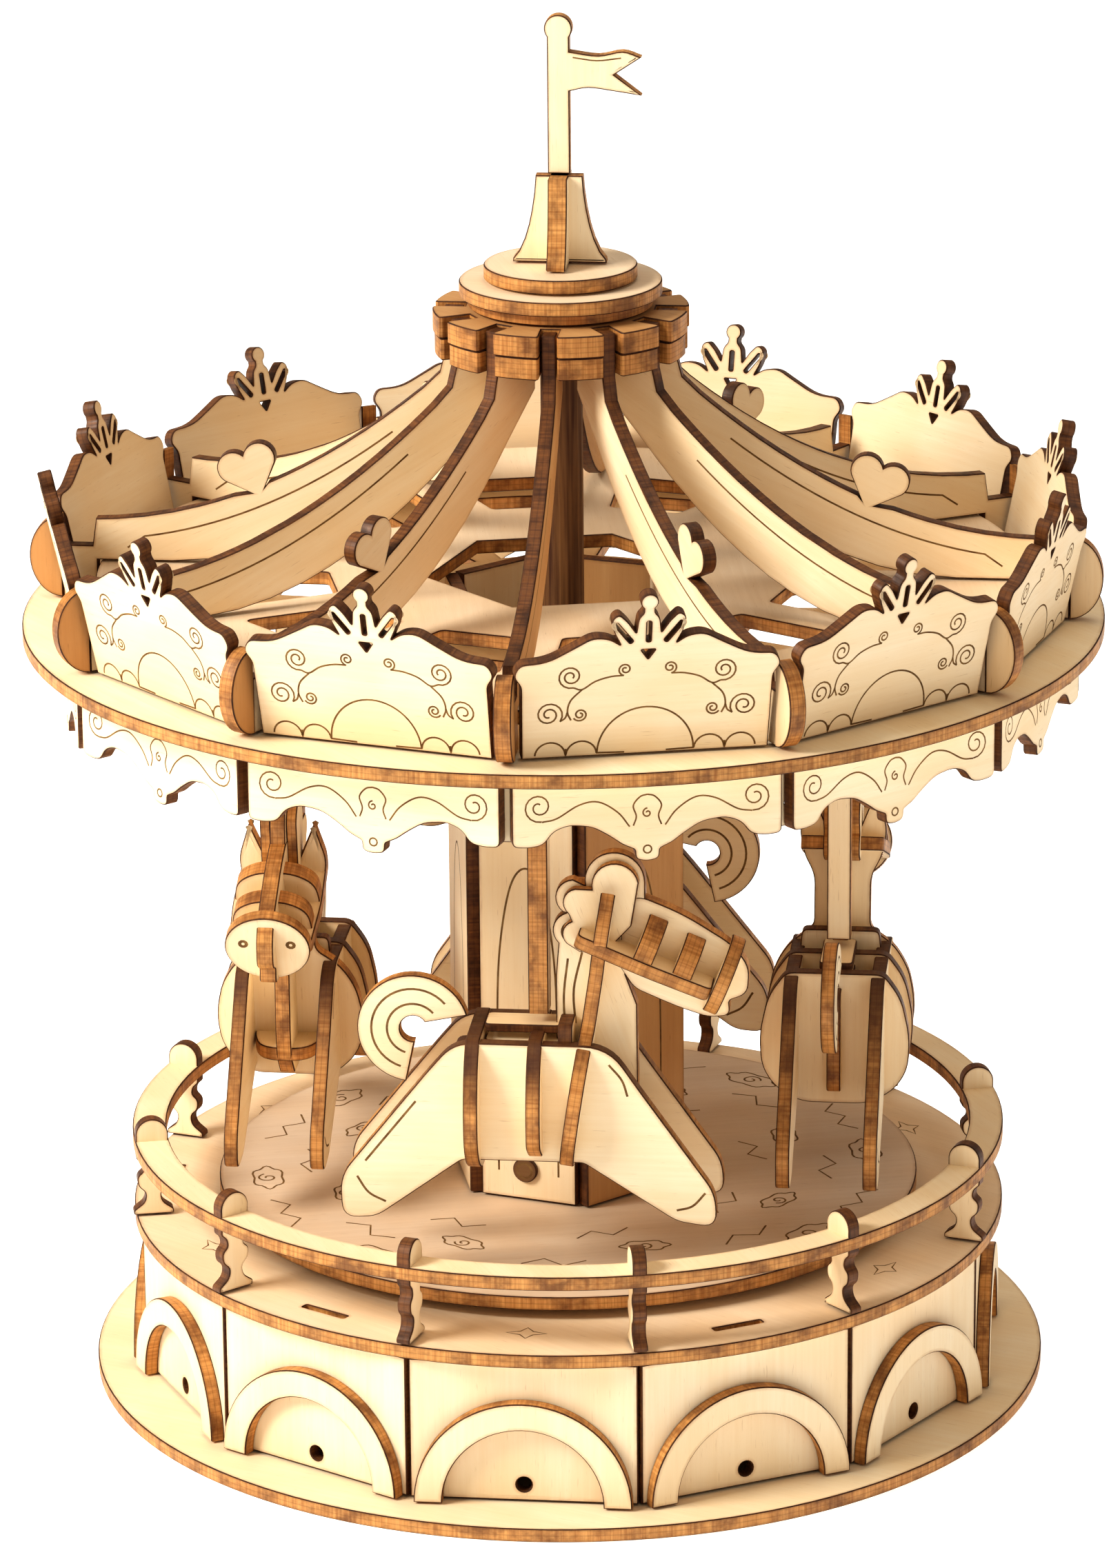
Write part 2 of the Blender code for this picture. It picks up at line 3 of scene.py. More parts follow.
import bpy
from mathutils import Matrix, Vector
from mathutils.geometry import tessellate_polygon


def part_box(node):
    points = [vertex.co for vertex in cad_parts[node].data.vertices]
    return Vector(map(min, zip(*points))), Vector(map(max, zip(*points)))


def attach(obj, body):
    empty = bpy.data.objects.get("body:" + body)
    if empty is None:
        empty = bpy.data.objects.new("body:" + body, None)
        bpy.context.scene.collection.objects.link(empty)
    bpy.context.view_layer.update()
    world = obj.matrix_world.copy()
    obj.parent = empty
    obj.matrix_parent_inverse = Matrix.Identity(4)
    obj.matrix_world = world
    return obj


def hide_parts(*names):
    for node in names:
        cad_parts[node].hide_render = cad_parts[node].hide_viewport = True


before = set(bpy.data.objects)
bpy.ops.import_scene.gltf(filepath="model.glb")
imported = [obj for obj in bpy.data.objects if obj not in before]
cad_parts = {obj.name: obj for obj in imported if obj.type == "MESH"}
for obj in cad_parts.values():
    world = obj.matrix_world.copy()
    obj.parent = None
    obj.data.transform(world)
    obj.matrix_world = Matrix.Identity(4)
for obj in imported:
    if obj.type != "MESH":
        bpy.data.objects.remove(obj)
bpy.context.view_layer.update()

# Lengths are in millimetres.  An azimuth is measured from -Y towards +X, so 0 is the front.
MM = 0.001


def low(node):
    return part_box(node)[0].z / MM


def high(node):
    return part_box(node)[1].z / MM


def reach(node):
    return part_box(node)[1].x / MM


# ---------------------------------------------------------------- sizes
SIDES = 12                 # panels of the drum, the skirt and the crown, and ribs of the roof
STEP = 360.0 / SIDES
HALF = STEP / 2

# From the frame.
PLY = high("base_plate")
GAP = low("stage_plate") - high("drum_panel_01")
BASE_R = reach("base_plate")
STAGE_R = reach("stage_plate")
RAIL_R = reach("rail_fence")
DECK_R = reach("deck")
CANOPY_R = reach("canopy_disc")
ROOF_R = reach("roof_plate")
CAP_LARGE_R = reach("cap_large")
CAP_SMALL_R = reach("cap_small")
HUB_R = reach("hub_ring")
DRUM_FACE = -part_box("drum_panel_01")[0].y / MM - PLY
SKIRT_FACE = reach("valance_skirt") * math.cos(math.radians(HALF))

# The same choices as in the frame, where a node's box doesn't show them.
RAIL_WIDTH = 4.9
RAIL_FOOT = 35.0
COLUMN_R = 18.2            # to a corner of the column's hexagon
BORE_R = 2.8               # hole around the spindle
HORSE_R = 39.6             # to the middle plate of each horse
BODY_TOP = 64.8            # top of a horse's side plates
BODY_HALF = 6.2            # from a horse's middle plate to each side plate
TAIL = (-17.2, 64.4)       # centre of a horse's tail ring
CROWN_FACE = 69.4          # to the outer face of the crown, at its foot
CROWN_LEAN = 12.0          # degrees outward
RIB_OUT = 68.0             # a rib's top is a parabola that is lowest at this radius
RIB_LOW = 126.0
RIB_RUN = 48.3
RIB_RISE = 20.2            # what it gains over that run inwards
FIN_R = 72.05              # where the rib's fin starts

RIM = 0.16                 # chamfer along every cut edge
FRINGE = 0.5               # width of the smoked band inside an edge
PROUD = 0.012              # height of an engraved line's scorched surface
LINE = 0.32                # width of an engraved line


# ---------------------------------------------------------------- outlines
def arc(centre, radius, start, end, steps):
    """Points along a circular arc, angles in degrees, both ends included."""
    return [(centre[0] + radius * math.cos(math.radians(start + (end - start) * i / steps)),
             centre[1] + radius * math.sin(math.radians(start + (end - start) * i / steps)))
            for i in range(steps + 1)]


def circle(radius, steps, centre=(0.0, 0.0)):
    return arc(centre, radius, 0.0, 360.0, steps)[:-1]


def ellipse(half_width, half_height, steps):
    return [(half_width * x, half_height * y) for x, y in circle(1.0, steps)]


def hexagon(radius, first):
    return arc((0.0, 0.0), radius, first, first + 360.0, 6)[:-1]


def flip(points):
    """The points mirrored left to right, in the same order."""
    return [(-x, y) for x, y in points]


def mirrored(half):
    """A closed outline from its right half, listed from the bottom to the top."""
    return half + [(-x, y) for x, y in reversed(half) if x > 1e-6]


def both_sides(corners):
    """A closed outline's (x, y, radius) corners from those of its right half, as in `mirrored`."""
    return corners + [(-x, y, r) for x, y, r in reversed(corners) if x > 1e-6]


def turned(points, degrees, shift=(0.0, 0.0)):
    c = math.cos(math.radians(degrees))
    s = math.sin(math.radians(degrees))
    return [(c * x - s * y + shift[0], s * x + c * y + shift[1]) for x, y in points]


def rounded(corners, steps=5):
    """A closed outline from (x, y, radius) corners, each radius a soft curve."""
    points = []
    count = len(corners)
    for i, (x, y, radius) in enumerate(corners):
        here = Vector((x, y))
        before = Vector(corners[i - 1][:2]) - here
        after = Vector(corners[(i + 1) % count][:2]) - here
        size = min(radius, before.length * 0.48, after.length * 0.48)
        if size < 0.02:
            points.append((x, y))
            continue
        a = here + before.normalized() * size
        b = here + after.normalized() * size
        for k in range(steps + 1):
            t = k / steps
            points.append(tuple(a * (1 - t) ** 2 + here * 2 * t * (1 - t) + b * t ** 2))
    return points


def box(left, right, bottom, top, radius=0.0):
    corners = [(left, bottom), (right, bottom), (right, top), (left, top)]
    return rounded([(x, y, radius) for x, y in corners])


def curve(points, steps=6):
    """A smooth open line through the points."""
    line = [Vector(p) for p in points]
    line = [2 * line[0] - line[1]] + line + [2 * line[-1] - line[-2]]
    result = []
    for p0, p1, p2, p3 in zip(line, line[1:], line[2:], line[3:]):
        for k in range(steps):
            t = k / steps
            result.append(tuple(0.5 * (2 * p1 + (p2 - p0) * t + (2 * p0 - 5 * p1 + 4 * p2 - p3) * t * t
                                       + (3 * p1 - p0 - 3 * p2 + p3) * t ** 3)))
    return result + [tuple(line[-2])]


def spiral(centre, radius, start, turns):
    """A volute from its rim inwards; negative turns run clockwise."""
    inner = 0.2                # its last radius, as a part of the first
    steps = max(10, int(abs(turns) * 16))
    points = []
    for i in range(steps + 1):
        t = i / steps
        r = radius * (1 - t * (1 - inner))
        angle = math.radians(start + 360.0 * turns * t)
        points.append((centre[0] + r * math.cos(angle), centre[1] + r * math.sin(angle)))
    return points


def inset(loop, distance):
    """The loop moved to its left by a distance, with short mitres."""
    points = [Vector(p) for p in loop]
    count = len(points)
    result = []
    for i in range(count):
        before = (points[i] - points[i - 1]).normalized()
        after = (points[(i + 1) % count] - points[i]).normalized()
        side = Vector((-before.y - after.y, before.x + after.x))
        if side.length < 1e-6:
            side = Vector((-before.y, before.x))
        side.normalize()
        cosine = max(side.dot(Vector((-before.y, before.x))), 0.5)
        result.append(tuple(points[i] + side * (distance / cosine)))
    return result


def area(loop):
    return 0.5 * sum(a[0] * b[1] - b[0] * a[1] for a, b in zip(loop, loop[1:] + loop[:1]))


def oriented(loop, anticlockwise):
    return loop if (area(loop) > 0) == anticlockwise else loop[::-1]


# ---------------------------------------------------------------- places
def offset(x=0.0, y=0.0, z=0.0):
    return Matrix.Translation((x, y, z))


def spin(degrees, axis="Z"):
    return Matrix.Rotation(math.radians(degrees), 4, axis)


def lying(bottom, thick=None):
    return offset(z=bottom + (PLY if thick is None else thick) / 2)


def upright(azimuth):
    """Own X along the tangent, own Y up, own Z outward, on the axis."""
    return spin(azimuth) @ spin(90.0, "X")


def face_out(azimuth, face, bottom, lean=0.0):
    """An upright sheet whose outer face stands at `face` from the axis at the height `bottom`."""
    tilt = math.radians(lean)
    place = offset(y=-(face - PLY / 2 * math.cos(tilt)), z=bottom + PLY / 2 * math.sin(tilt))
    return spin(azimuth) @ place @ spin(90.0 + lean, "X")


def radial(azimuth):
    """Own X along the radius, own Y up."""
    return spin(azimuth - 90.0) @ spin(90.0, "X")


# ---------------------------------------------------------------- materials
class Shader:
    """A material whose nodes are added one line at a time."""

    def __init__(self, name):
        self.material = bpy.data.materials.new(name)
        self.material.use_nodes = True
        self.tree = self.material.node_tree
        self.surface = self.tree.nodes["Principled BSDF"]

    def node(self, kind, settings=(), **inputs):
        made = self.tree.nodes.new(kind)
        for key, value in settings:
            setattr(made, key, value)
        for key, value in inputs.items():
            self.plug(made.inputs[int(key[1:]) if key[0] == "_" else key], value)
        return made

    def plug(self, socket, value):
        if isinstance(value, bpy.types.NodeSocket):
            self.tree.links.new(value, socket)
        else:
            socket.default_value = value

    def grain(self, along, across, deep, detail=4.0, roughness=0.55, distortion=0.0):
        """Noise stretched along the grain; the three scales are per millimetre."""
        place = self.node("ShaderNodeAttribute", [("attribute_name", "grain")]).outputs["Vector"]
        scaled = self.node("ShaderNodeVectorMath", [("operation", "MULTIPLY")], _0=place,
                           _1=(along, across, deep))
        return self.node("ShaderNodeTexNoise", Vector=scaled.outputs["Vector"], Scale=1.0, Detail=detail,
                         Roughness=roughness, Distortion=distortion).outputs["Fac"]

    def spread(self, value, low_in, high_in, low_out=0.0, high_out=1.0):
        made = self.node("ShaderNodeMapRange", Value=value)
        for index, number in enumerate((low_in, high_in, low_out, high_out), 1):
            made.inputs[index].default_value = number
        return made.outputs["Result"]

    def times(self, a, b):
        return self.node("ShaderNodeMath", [("operation", "MULTIPLY")], _0=a, _1=b).outputs["Value"]

    def mix(self, factor, a, b, blend="MIX"):
        made = self.node("ShaderNodeMix", [("data_type", "RGBA"), ("blend_type", blend)],
                         _0=factor, _6=a, _7=b)
        return made.outputs[2]

    def attribute(self, name):
        return self.node("ShaderNodeAttribute", [("attribute_name", name)]).outputs["Fac"]

    def finish(self, colour, rough, height, strength, distance):
        self.plug(self.surface.inputs["Base Color"], colour)
        self.plug(self.surface.inputs["Roughness"], rough)
        self.surface.inputs["Specular IOR Level"].default_value = 0.35
        bump = self.node("ShaderNodeBump", Height=height, Strength=strength, Distance=distance)
        self.plug(self.surface.inputs["Normal"], bump.outputs["Normal"])
        return self.material


def veneer(name, pale, deep, smoke):
    """The face of a sheet: fine straight grain, soft bands, pores, and smoke near its cut edges."""
    s = Shader(name)
    band = s.spread(s.grain(0.012, 0.11, 0.1, 3.0), 0.35, 0.68)
    streak = s.spread(s.grain(0.05, 1.3, 0.3, 5.0, 0.62, 0.3), 0.36, 0.7)
    fibre = s.grain(0.35, 7.5, 1.0, 3.0)
    pore = s.spread(s.grain(0.28, 4.2, 1.0, 2.0), 0.665, 0.72)
    blotch = s.spread(s.grain(0.07, 0.09, 0.1, 2.0), 0.4, 0.65)
    warm = tuple(a * b for a, b in zip(pale, (0.985, 0.93, 0.86))) + (1.0,)
    colour = s.mix(blotch, (*pale, 1.0), warm)
    colour = s.mix(s.times(band, 0.42), colour, (*deep, 1.0))
    colour = s.mix(s.times(streak, 0.34), colour, (*deep, 1.0))
    colour = s.mix(s.times(pore, 0.3), colour, (deep[0] * 0.55, deep[1] * 0.45, deep[2] * 0.35, 1.0))
    colour = s.mix(s.times(s.attribute("tone"), 0.85), colour, (0.86, 0.76, 0.66, 1.0), "MULTIPLY")
    haze = s.spread(s.grain(0.5, 0.5, 0.5, 3.0), 0.3, 0.7, 0.35, 1.0)
    smoked = s.times(s.times(s.attribute("soot"), haze), 0.55)
    colour = s.mix(smoked, colour, (*smoke, 1.0))
    rough = s.spread(fibre, 0.3, 0.7, 0.5, 0.68)
    return s.finish(colour, rough, fibre, 0.16, 0.0001)


def cut_edge(name, light, dark, char):
    """A laser-cut edge: the beam's fine lines, burnt blotches, dark glue lines and scorched heights."""
    s = Shader(name)
    beam = s.spread(s.grain(2.1, 2.1, 0.10, 4.0, 0.6), 0.36, 0.66)
    blotch = s.spread(s.grain(0.22, 0.22, 0.35, 4.0, 0.6), 0.44, 0.66)
    scale = s.grain(0.7, 0.7, 0.5, 3.0)
    place = s.node("ShaderNodeAttribute", [("attribute_name", "grain")]).outputs["Vector"]
    depth = s.node("ShaderNodeSeparateXYZ", Vector=place).outputs["Z"]
    ply = PLY * 0.36           # thickness of one layer of the plywood
    wave = s.node("ShaderNodeMath", [("operation", "COSINE")], _0=s.times(depth, 2 * math.pi / ply))
    glue = s.spread(wave.outputs["Value"], 0.55, 1.0)
    colour = s.mix(beam, (*light, 1.0), (*dark, 1.0))
    colour = s.mix(s.times(blotch, 0.75), colour, (*char, 1.0))
    colour = s.mix(s.times(glue, 0.3), colour, (*char, 1.0))
    colour = s.mix(s.times(s.attribute("tone"), 0.6), colour, (0.8, 0.68, 0.56, 1.0), "MULTIPLY")
    colour = s.mix(s.times(s.attribute("burn"), 0.85), colour, (0.045, 0.014, 0.008, 1.0))
    rough = s.spread(scale, 0.3, 0.7, 0.42, 0.62)
    return s.finish(colour, rough, beam, 0.22, 0.0001)


def char(name, dark, brown):
    """Scorched wood: chamfers along the cuts, and engraved lines."""
    s = Shader(name)
    patch = s.spread(s.grain(0.5, 0.9, 0.5, 4.0), 0.35, 0.68)
    colour = s.mix(patch, (*dark, 1.0), (*brown, 1.0))
    rough = s.spread(patch, 0.0, 1.0, 0.75, 0.9)
    return s.finish(colour, rough, patch, 0.2, 0.00008)


def dowel(name, light, dark):
    """Turned wood, from the piece's own coordinates: the grain runs up."""
    s = Shader(name)
    place = s.node("ShaderNodeTexCoord").outputs["Object"]
    scaled = s.node("ShaderNodeVectorMath", [("operation", "MULTIPLY")], _0=place,
                    _1=(1500.0, 1500.0, 60.0))
    noise = s.node("ShaderNodeTexNoise", Vector=scaled.outputs["Vector"], Scale=1.0,
                   Detail=4.0).outputs["Fac"]
    colour = s.mix(s.spread(noise, 0.35, 0.7), (*light, 1.0), (*dark, 1.0))
    return s.finish(colour, s.spread(noise, 0.3, 0.7, 0.5, 0.65), noise, 0.15, 0.0001)


EDGE = cut_edge("cut_edge", (0.66, 0.330, 0.105), (0.42, 0.175, 0.045), (0.115, 0.038, 0.010))
DARK_EDGE = cut_edge("dark_cut_edge", (0.21, 0.080, 0.022), (0.095, 0.032, 0.010), (0.028, 0.009, 0.004))
CHAR = char("charred_rim", (0.030, 0.010, 0.004), (0.10, 0.036, 0.011))
ENGRAVED = char("engraved_line", (0.115, 0.055, 0.016), (0.24, 0.135, 0.048))
PALE = veneer("basswood", (0.95, 0.815, 0.60), (0.83, 0.62, 0.36), (0.42, 0.20, 0.07))
DECKING = veneer("basswood_deck", (0.88, 0.71, 0.52), (0.72, 0.52, 0.33), (0.38, 0.18, 0.07))
FLOORING = veneer("basswood_floor", (0.74, 0.59, 0.45), (0.60, 0.43, 0.29), (0.34, 0.16, 0.06))
# Toasted colour: the hub's own, and painted shade on the plates, ribs and fins listed below and on the cap
# spacer.
TOASTED_AND_SHADE = veneer("toasted_plywood_and_painted_shade", (0.62, 0.37, 0.165), (0.44, 0.22, 0.08), (0.24, 0.095, 0.028))
BURNT = veneer("burnt_plywood", (0.20, 0.105, 0.040), (0.12, 0.055, 0.020), (0.06, 0.022, 0.008))
DOWEL = dowel("dowel_wood", (0.62, 0.42, 0.22), (0.40, 0.22, 0.09))
# Dark dowel wood: painted shade on the mast and the washer.
PAINTED_SHADE_DOWEL = dowel("dowel_wood_painted_shade", (0.22, 0.105, 0.04), (0.075, 0.026, 0.010))
FACE_SLOT, EDGE_SLOT, CHAR_SLOT, LINE_SLOT = range(4)

# Column plates, ribs and rib fins that get the toasted colour as painted shade: the column's right and back
# plates, the front and back ribs, and the front and left fins.
PAINTED_SHADE_PLATES = (1, 3)
PAINTED_SHADE_RIBS = (0, 6)
PAINTED_SHADE_FINS = (0, 9, 10, 11)


# ---------------------------------------------------------------- pieces
class Piece:
    """One object made of one or more laser-cut sheets."""

    count = 0

    def __init__(self, name, face=PALE, edge=EDGE):
        self.name = name
        self.materials = [face, edge, CHAR, ENGRAVED]
        self.points = []
        self.grain = []
        self.soot = []
        self.tone = []
        self.burn = []
        self.faces = []
        self.slots = []

    def add(self, flat, height, soot, setting):
        """Adds points that lie on one level of a sheet, and gives their numbers."""
        place, turn, shift, tone, burn = setting
        first = len(self.points)
        for (x, y), (u, v) in zip(flat, turned(flat, turn)):
            self.points.append(place @ Vector((x, y, height)) * MM)
            self.grain.append((u + shift[0], v + shift[1], height))
            self.soot.append(soot)
            self.tone.append(tone)
            scorch = 0.0 if burn is None else (y - burn[0]) / (burn[1] - burn[0])
            self.burn.append(min(max(scorch, 0.0), 1.0))
        return list(range(first, len(self.points)))

    def face(self, numbers, slot):
        self.faces.append(numbers)
        self.slots.append(slot)

    def band(self, outer, inner, slot):
        """Quads between two rings of the same length."""
        count = len(outer)
        for i in range(count):
            j = (i + 1) % count
            self.face((outer[i], outer[j], inner[j], inner[i]), slot)

    def fill(self, loops, numbers, upward):
        """The flat middle of a face: the first loop, less the others."""
        flat = [[Vector((x, y, 0.0)) for x, y in loop] for loop in loops]
        order = [n for ring in numbers for n in ring]
        place = [p for loop in loops for p in loop]
        for triangle in tessellate_polygon(flat):
            if (area([place[i] for i in triangle]) > 0) != upward:
                triangle = triangle[::-1]
            self.face(tuple(order[i] for i in triangle), FACE_SLOT)

    def sheet(self, outline, holes=(), thick=None, at=Matrix.Identity(4), lines=(), back=(), turn=0.0,
              tone=0.0, fringe=FRINGE, line=LINE, burn=None):
        """Adds a flat sheet with chamfered, burnt edges, drawn in its own X and Y and placed by `at`.

        `lines` are engraved on its front and `back` on its back, `line` wide.  `turn` turns its grain,
        `tone` darkens it, `fringe` is the width of the smoke at its edges, and `burn` gives the two
        heights between which its edges go from plain to scorched.
        """
        Piece.count += 1       # each sheet has its grain from another part of the veneer
        shift = (Piece.count * 37.7 % 400.0, Piece.count * 71.3 % 400.0)
        setting = (at, turn, shift, tone, burn)
        half = (PLY if thick is None else thick) / 2
        loops = [oriented(outline, True)] + [oriented(hole, False) for hole in holes]
        front_edges = []
        for side in (1, -1):
            inner, numbers = [], []
            for loop in loops:
                edge = self.add(loop, side * (half - RIM), 1.0, setting)
                lip = self.add(inset(loop, RIM), side * half, 1.0, setting)
                soft_flat = inset(loop, RIM + fringe)
                soft = self.add(soft_flat, side * half, 0.0, setting)
                inner.append(soft_flat)
                numbers.append(soft)
                if side > 0:
                    self.band(edge, lip, CHAR_SLOT)
                    self.band(lip, soft, FACE_SLOT)
                    front_edges.append(edge)
                else:
                    self.band(lip, edge, CHAR_SLOT)
                    self.band(soft, lip, FACE_SLOT)
                    self.band(edge, front_edges.pop(0), EDGE_SLOT)
            self.fill(inner, numbers, side > 0)
        for points in lines:
            self.ribbon(points, half + PROUD, setting, line)
        for points in back:
            self.ribbon(points, -half - PROUD, setting, line)
        return self

    def ribbon(self, points, height, setting, width):
        """An engraved line, as a narrow strip just above a face."""
        closed = math.dist(points[0], points[-1]) < 1e-4
        path = [Vector(p) for p in (points[:-1] if closed else points)]
        count = len(path)
        left, right = [], []
        for i, p in enumerate(path):
            before = path[i - 1] if (i or closed) else p
            after = path[(i + 1) % count] if (i < count - 1 or closed) else p
            along = (after - before).normalized()
            side = Vector((-along.y, along.x)) * width / 2
            left.append(tuple(p + side))
            right.append(tuple(p - side))
        a = self.add(left, height, 0.0, setting)
        b = self.add(right, height, 0.0, setting)
        for i in range(count if closed else count - 1):
            j = (i + 1) % count
            quad = (b[i], b[j], a[j], a[i])
            self.face(quad if height > 0 else quad[::-1], LINE_SLOT)

    def finish(self, body, *nodes, slot="plywood"):
        """Makes the object, which rides on a body and stands for the nodes."""
        mesh = bpy.data.meshes.new(self.name)
        mesh.from_pydata(self.points, [], self.faces)
        for material in self.materials:
            mesh.materials.append(material)
        mesh.polygons.foreach_set("material_index", self.slots)
        grain = mesh.attributes.new("grain", "FLOAT_VECTOR", "POINT")
        grain.data.foreach_set("vector", [number for place in self.grain for number in place])
        for name, values in (("soot", self.soot), ("tone", self.tone), ("burn", self.burn)):
            mesh.attributes.new(name, "FLOAT", "POINT").data.foreach_set("value", values)
        mesh.shade_smooth()
        mesh.set_sharp_from_angle(angle=math.radians(28))
        made = bpy.data.objects.new(self.name, mesh)
        bpy.context.scene.collection.objects.link(made)
        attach(made, body)
        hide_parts(*nodes)
        return made


def wobble(k, spread):
    """A number from 0 to `spread` that varies from one k to the next, the same in every run."""
    return (math.sin(k * 12.9898 + 4.1) * 43758.5453 % 1.0) * spread


# ---------------------------------------------------------------- base
def base_plate():
    Piece("base_disc").sheet(circle(BASE_R, 150), at=lying(0.0), turn=20.0).finish("base", "base_plate")


def drum_panels():
    """Flat panels with a half-round moulding glued on and a small round hole."""
    foot = low("drum_panel_01")
    tall = high("drum_panel_01") - foot
    half = DRUM_FACE * math.tan(math.radians(HALF)) - GAP
    outer, inner = 15.3, 11.3
    moulding = arc((0, 0), outer, 0, 180, 40) + arc((0, 0), inner, 180, 0, 36)
    hole = circle(1.1, 20, (0.0, 2.4))
    for k in range(SIDES):
        place = face_out(STEP * k, DRUM_FACE, foot)
        panel = Piece(f"drum_face_{k + 1:02d}", edge=DARK_EDGE)
        panel.sheet(box(-half, half, 0.0, tall), [hole], at=place, turn=90.0, tone=wobble(k, 0.25))
        panel.finish("base", f"drum_panel_{k + 1:02d}")
        arch = Piece(f"drum_arch_{k + 1:02d}")
        arch.sheet(moulding, at=place @ offset(z=PLY), turn=90.0, tone=wobble(k + 30, 0.15))
        arch.finish("base", f"drum_panel_{k + 1:02d}")


def stage_plate():
    """The disc on the drum: burnt slots over every other panel, engraved diamonds between them."""
    slot = box(-3.7, 3.7, -58.6, -57.4, 0.3)
    slots = [turned(slot, STEP * k) for k in range(1, SIDES, 2)]
    tip, waist, stretch, out = 1.9, 0.85, 1.5, 55.6
    star = []
    for i in range(9):
        angle = math.radians(45.0 * i)
        size = tip if i % 2 == 0 else waist
        star.append((size * stretch * math.cos(angle), size * math.sin(angle) - out))
    stars = [turned(star, STEP * k) for k in range(0, SIDES, 2)]
    plate = Piece("stage_disc", DECKING)
    plate.sheet(circle(STAGE_R, 150), [circle(BORE_R, 24), *slots], at=lying(low("stage_plate")),
                lines=stars, turn=35.0, line=0.24)
    plate.finish("base", "stage_plate")


def baluster():
    """A turned silhouette with a flared foot and a round-topped tab, from the stage to the top."""
    foot = low("rail_fence")
    top = high("rail_fence")
    tab = 2.35
    right = [(2.9, 0.0, 0.2), (2.9, 0.7, 0.3), (1.25, 1.9, 0.9), (1.05, 3.4, 0.8), (2.2, 4.3, 0.7),
             (2.3, 5.9, 0.9), (1.3, 6.7, 0.5), (1.5, 7.8, 0.4), (tab, 8.6, 0.3), (tab, 12.4, 0.0)]
    right += [(x, y, 0.0) for x, y in arc((0.0, top - foot - tab), tab, 8, 90, 8)]
    return [(x + RAIL_R - RAIL_WIDTH / 2, y + foot) for x, y in rounded(both_sides(right), 4)]


def rail():
    """A flat ring on twelve balusters."""
    ring = Piece("rail_ring")
    ring.sheet(circle(RAIL_R, 150), [circle(RAIL_R - RAIL_WIDTH, 140)], at=lying(RAIL_FOOT), turn=60.0,
               tone=0.1)
    ring.finish("base", "rail_fence")
    for k in range(SIDES):
        post = Piece(f"baluster_{k + 1:02d}", edge=DARK_EDGE)
        post.sheet(baluster(), at=radial(STEP * k + HALF), turn=90.0, fringe=0.3,
                   tone=wobble(k + 50, 0.3))
        post.finish("base", "rail_fence")


def bearing():
    """The dowel, the washer and the mast are the frame's own; they only get wood, the mast and the washer a
    dark one as painted shade.
    """
    for name, material in (("spindle", DOWEL), ("mast", PAINTED_SHADE_DOWEL), ("bearing_washer", PAINTED_SHADE_DOWEL)):
        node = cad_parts[name]
        node.data.materials.clear()
        node.data.materials.append(material)


# ---------------------------------------------------------------- deck and column
def cloud(x, y, size):
    """A generic ornament: an oval with six soft bumps and a curl inside."""
    stretch, steps = 1.9, 32
    line = []
    for i in range(steps + 1):
        angle = math.radians(360.0 * i / steps)
        bump = 1.0 + 0.10 * math.cos(6 * angle)
        line.append((x + stretch * size * bump * math.cos(angle), y + size * bump * math.sin(angle)))
    curl = spiral((x, y), size * 0.7, 200, 1.25)
    return [line, curl]


def zigzag(x, y, length, turns, angle):
    tall = 1.1
    points = [(length * (i / turns - 0.5), tall if i % 2 else -tall) for i in range(turns + 1)]
    return turned(points, angle, (x, y))


def deck():
    """The turning floor, engraved all round with ovals and zigzags."""
    group = cloud(0.0, -44.0, 2.2) + cloud(7.5, -33.0, 1.8)
    group += [zigzag(14.0, -42.0, 11.0, 4, 12.0), zigzag(-6.0, -37.5, 9.0, 3, -14.0),
              zigzag(2.0, -27.5, 8.0, 3, 8.0)]
    groups = 8
    lines = []
    for k in range(groups):
        lines += [turned(line, 360.0 / groups * k + 12.0) for line in group]
    disc = Piece("deck_disc", FLOORING)
    disc.sheet(circle(DECK_R, 130), [circle(BORE_R, 24)], at=lying(low("deck")), lines=lines,
               turn=-15.0, line=0.3)
    disc.finish("carousel", "deck")


def column():
    """Six upright plates; every other one is narrower, between its neighbours' edges, with a button."""
    foot, top = low("column"), high("column")
    apothem = COLUMN_R * math.cos(math.radians(30))
    lap, button_r = 1.85, 1.85
    left = [(-4.6, 4.0), (-4.6, 26.0), (-4.1, 38.0), (-2.4, 47.5)]
    arch = curve(left + [(0.0, 50.5)] + flip(left)[::-1], 8)
    ring = circle(1.1, 20) + [(1.1, 0.0)]
    for k in range(6):
        lapped = k % 2 == 0
        half = COLUMN_R / 2 - (lap if lapped else 0.0)
        place = face_out(60.0 * k - HALF, apothem, foot)
        # The right and back plates get the toasted colour: painted shade.
        plate = Piece(f"column_plate_{k + 1}", TOASTED_AND_SHADE if k in PAINTED_SHADE_PLATES else PALE, DARK_EDGE)
        plate.sheet(box(-half, half, 0.0, top - foot), at=place, turn=90.0, lines=[arch],
                    tone=0.15 if lapped else 0.4, line=0.3)
        plate.finish("carousel", "column")
        if lapped:
            button = Piece(f"column_button_{k + 1}", BURNT, DARK_EDGE)
            button.sheet(circle(button_r, 28), thick=0.8, at=place @ offset(x=-0.4, y=4.6, z=PLY / 2 + 0.2),
                         lines=[ring])
            button.finish("carousel", "column")


# ---------------------------------------------------------------- canopy
def canopy_disc():
    """The wide disc over the horses: a hexagonal hole for the column and twelve windows."""
    far, near, half = 59.0, 27.0, 10.5
    window = arc((0, 0), far, half - 90, -90 - half, 8) + arc((0, 0), near, -90 - half, half - 90, 5)
    windows = [turned(window, STEP * k + HALF) for k in range(SIDES)]
    disc = Piece("canopy_rim")
    disc.sheet(circle(CANOPY_R, 180), [hexagon(COLUMN_R + GAP, -75), *windows],
               at=lying(low("canopy_disc")), turn=50.0)
    disc.finish("carousel", "canopy_disc")


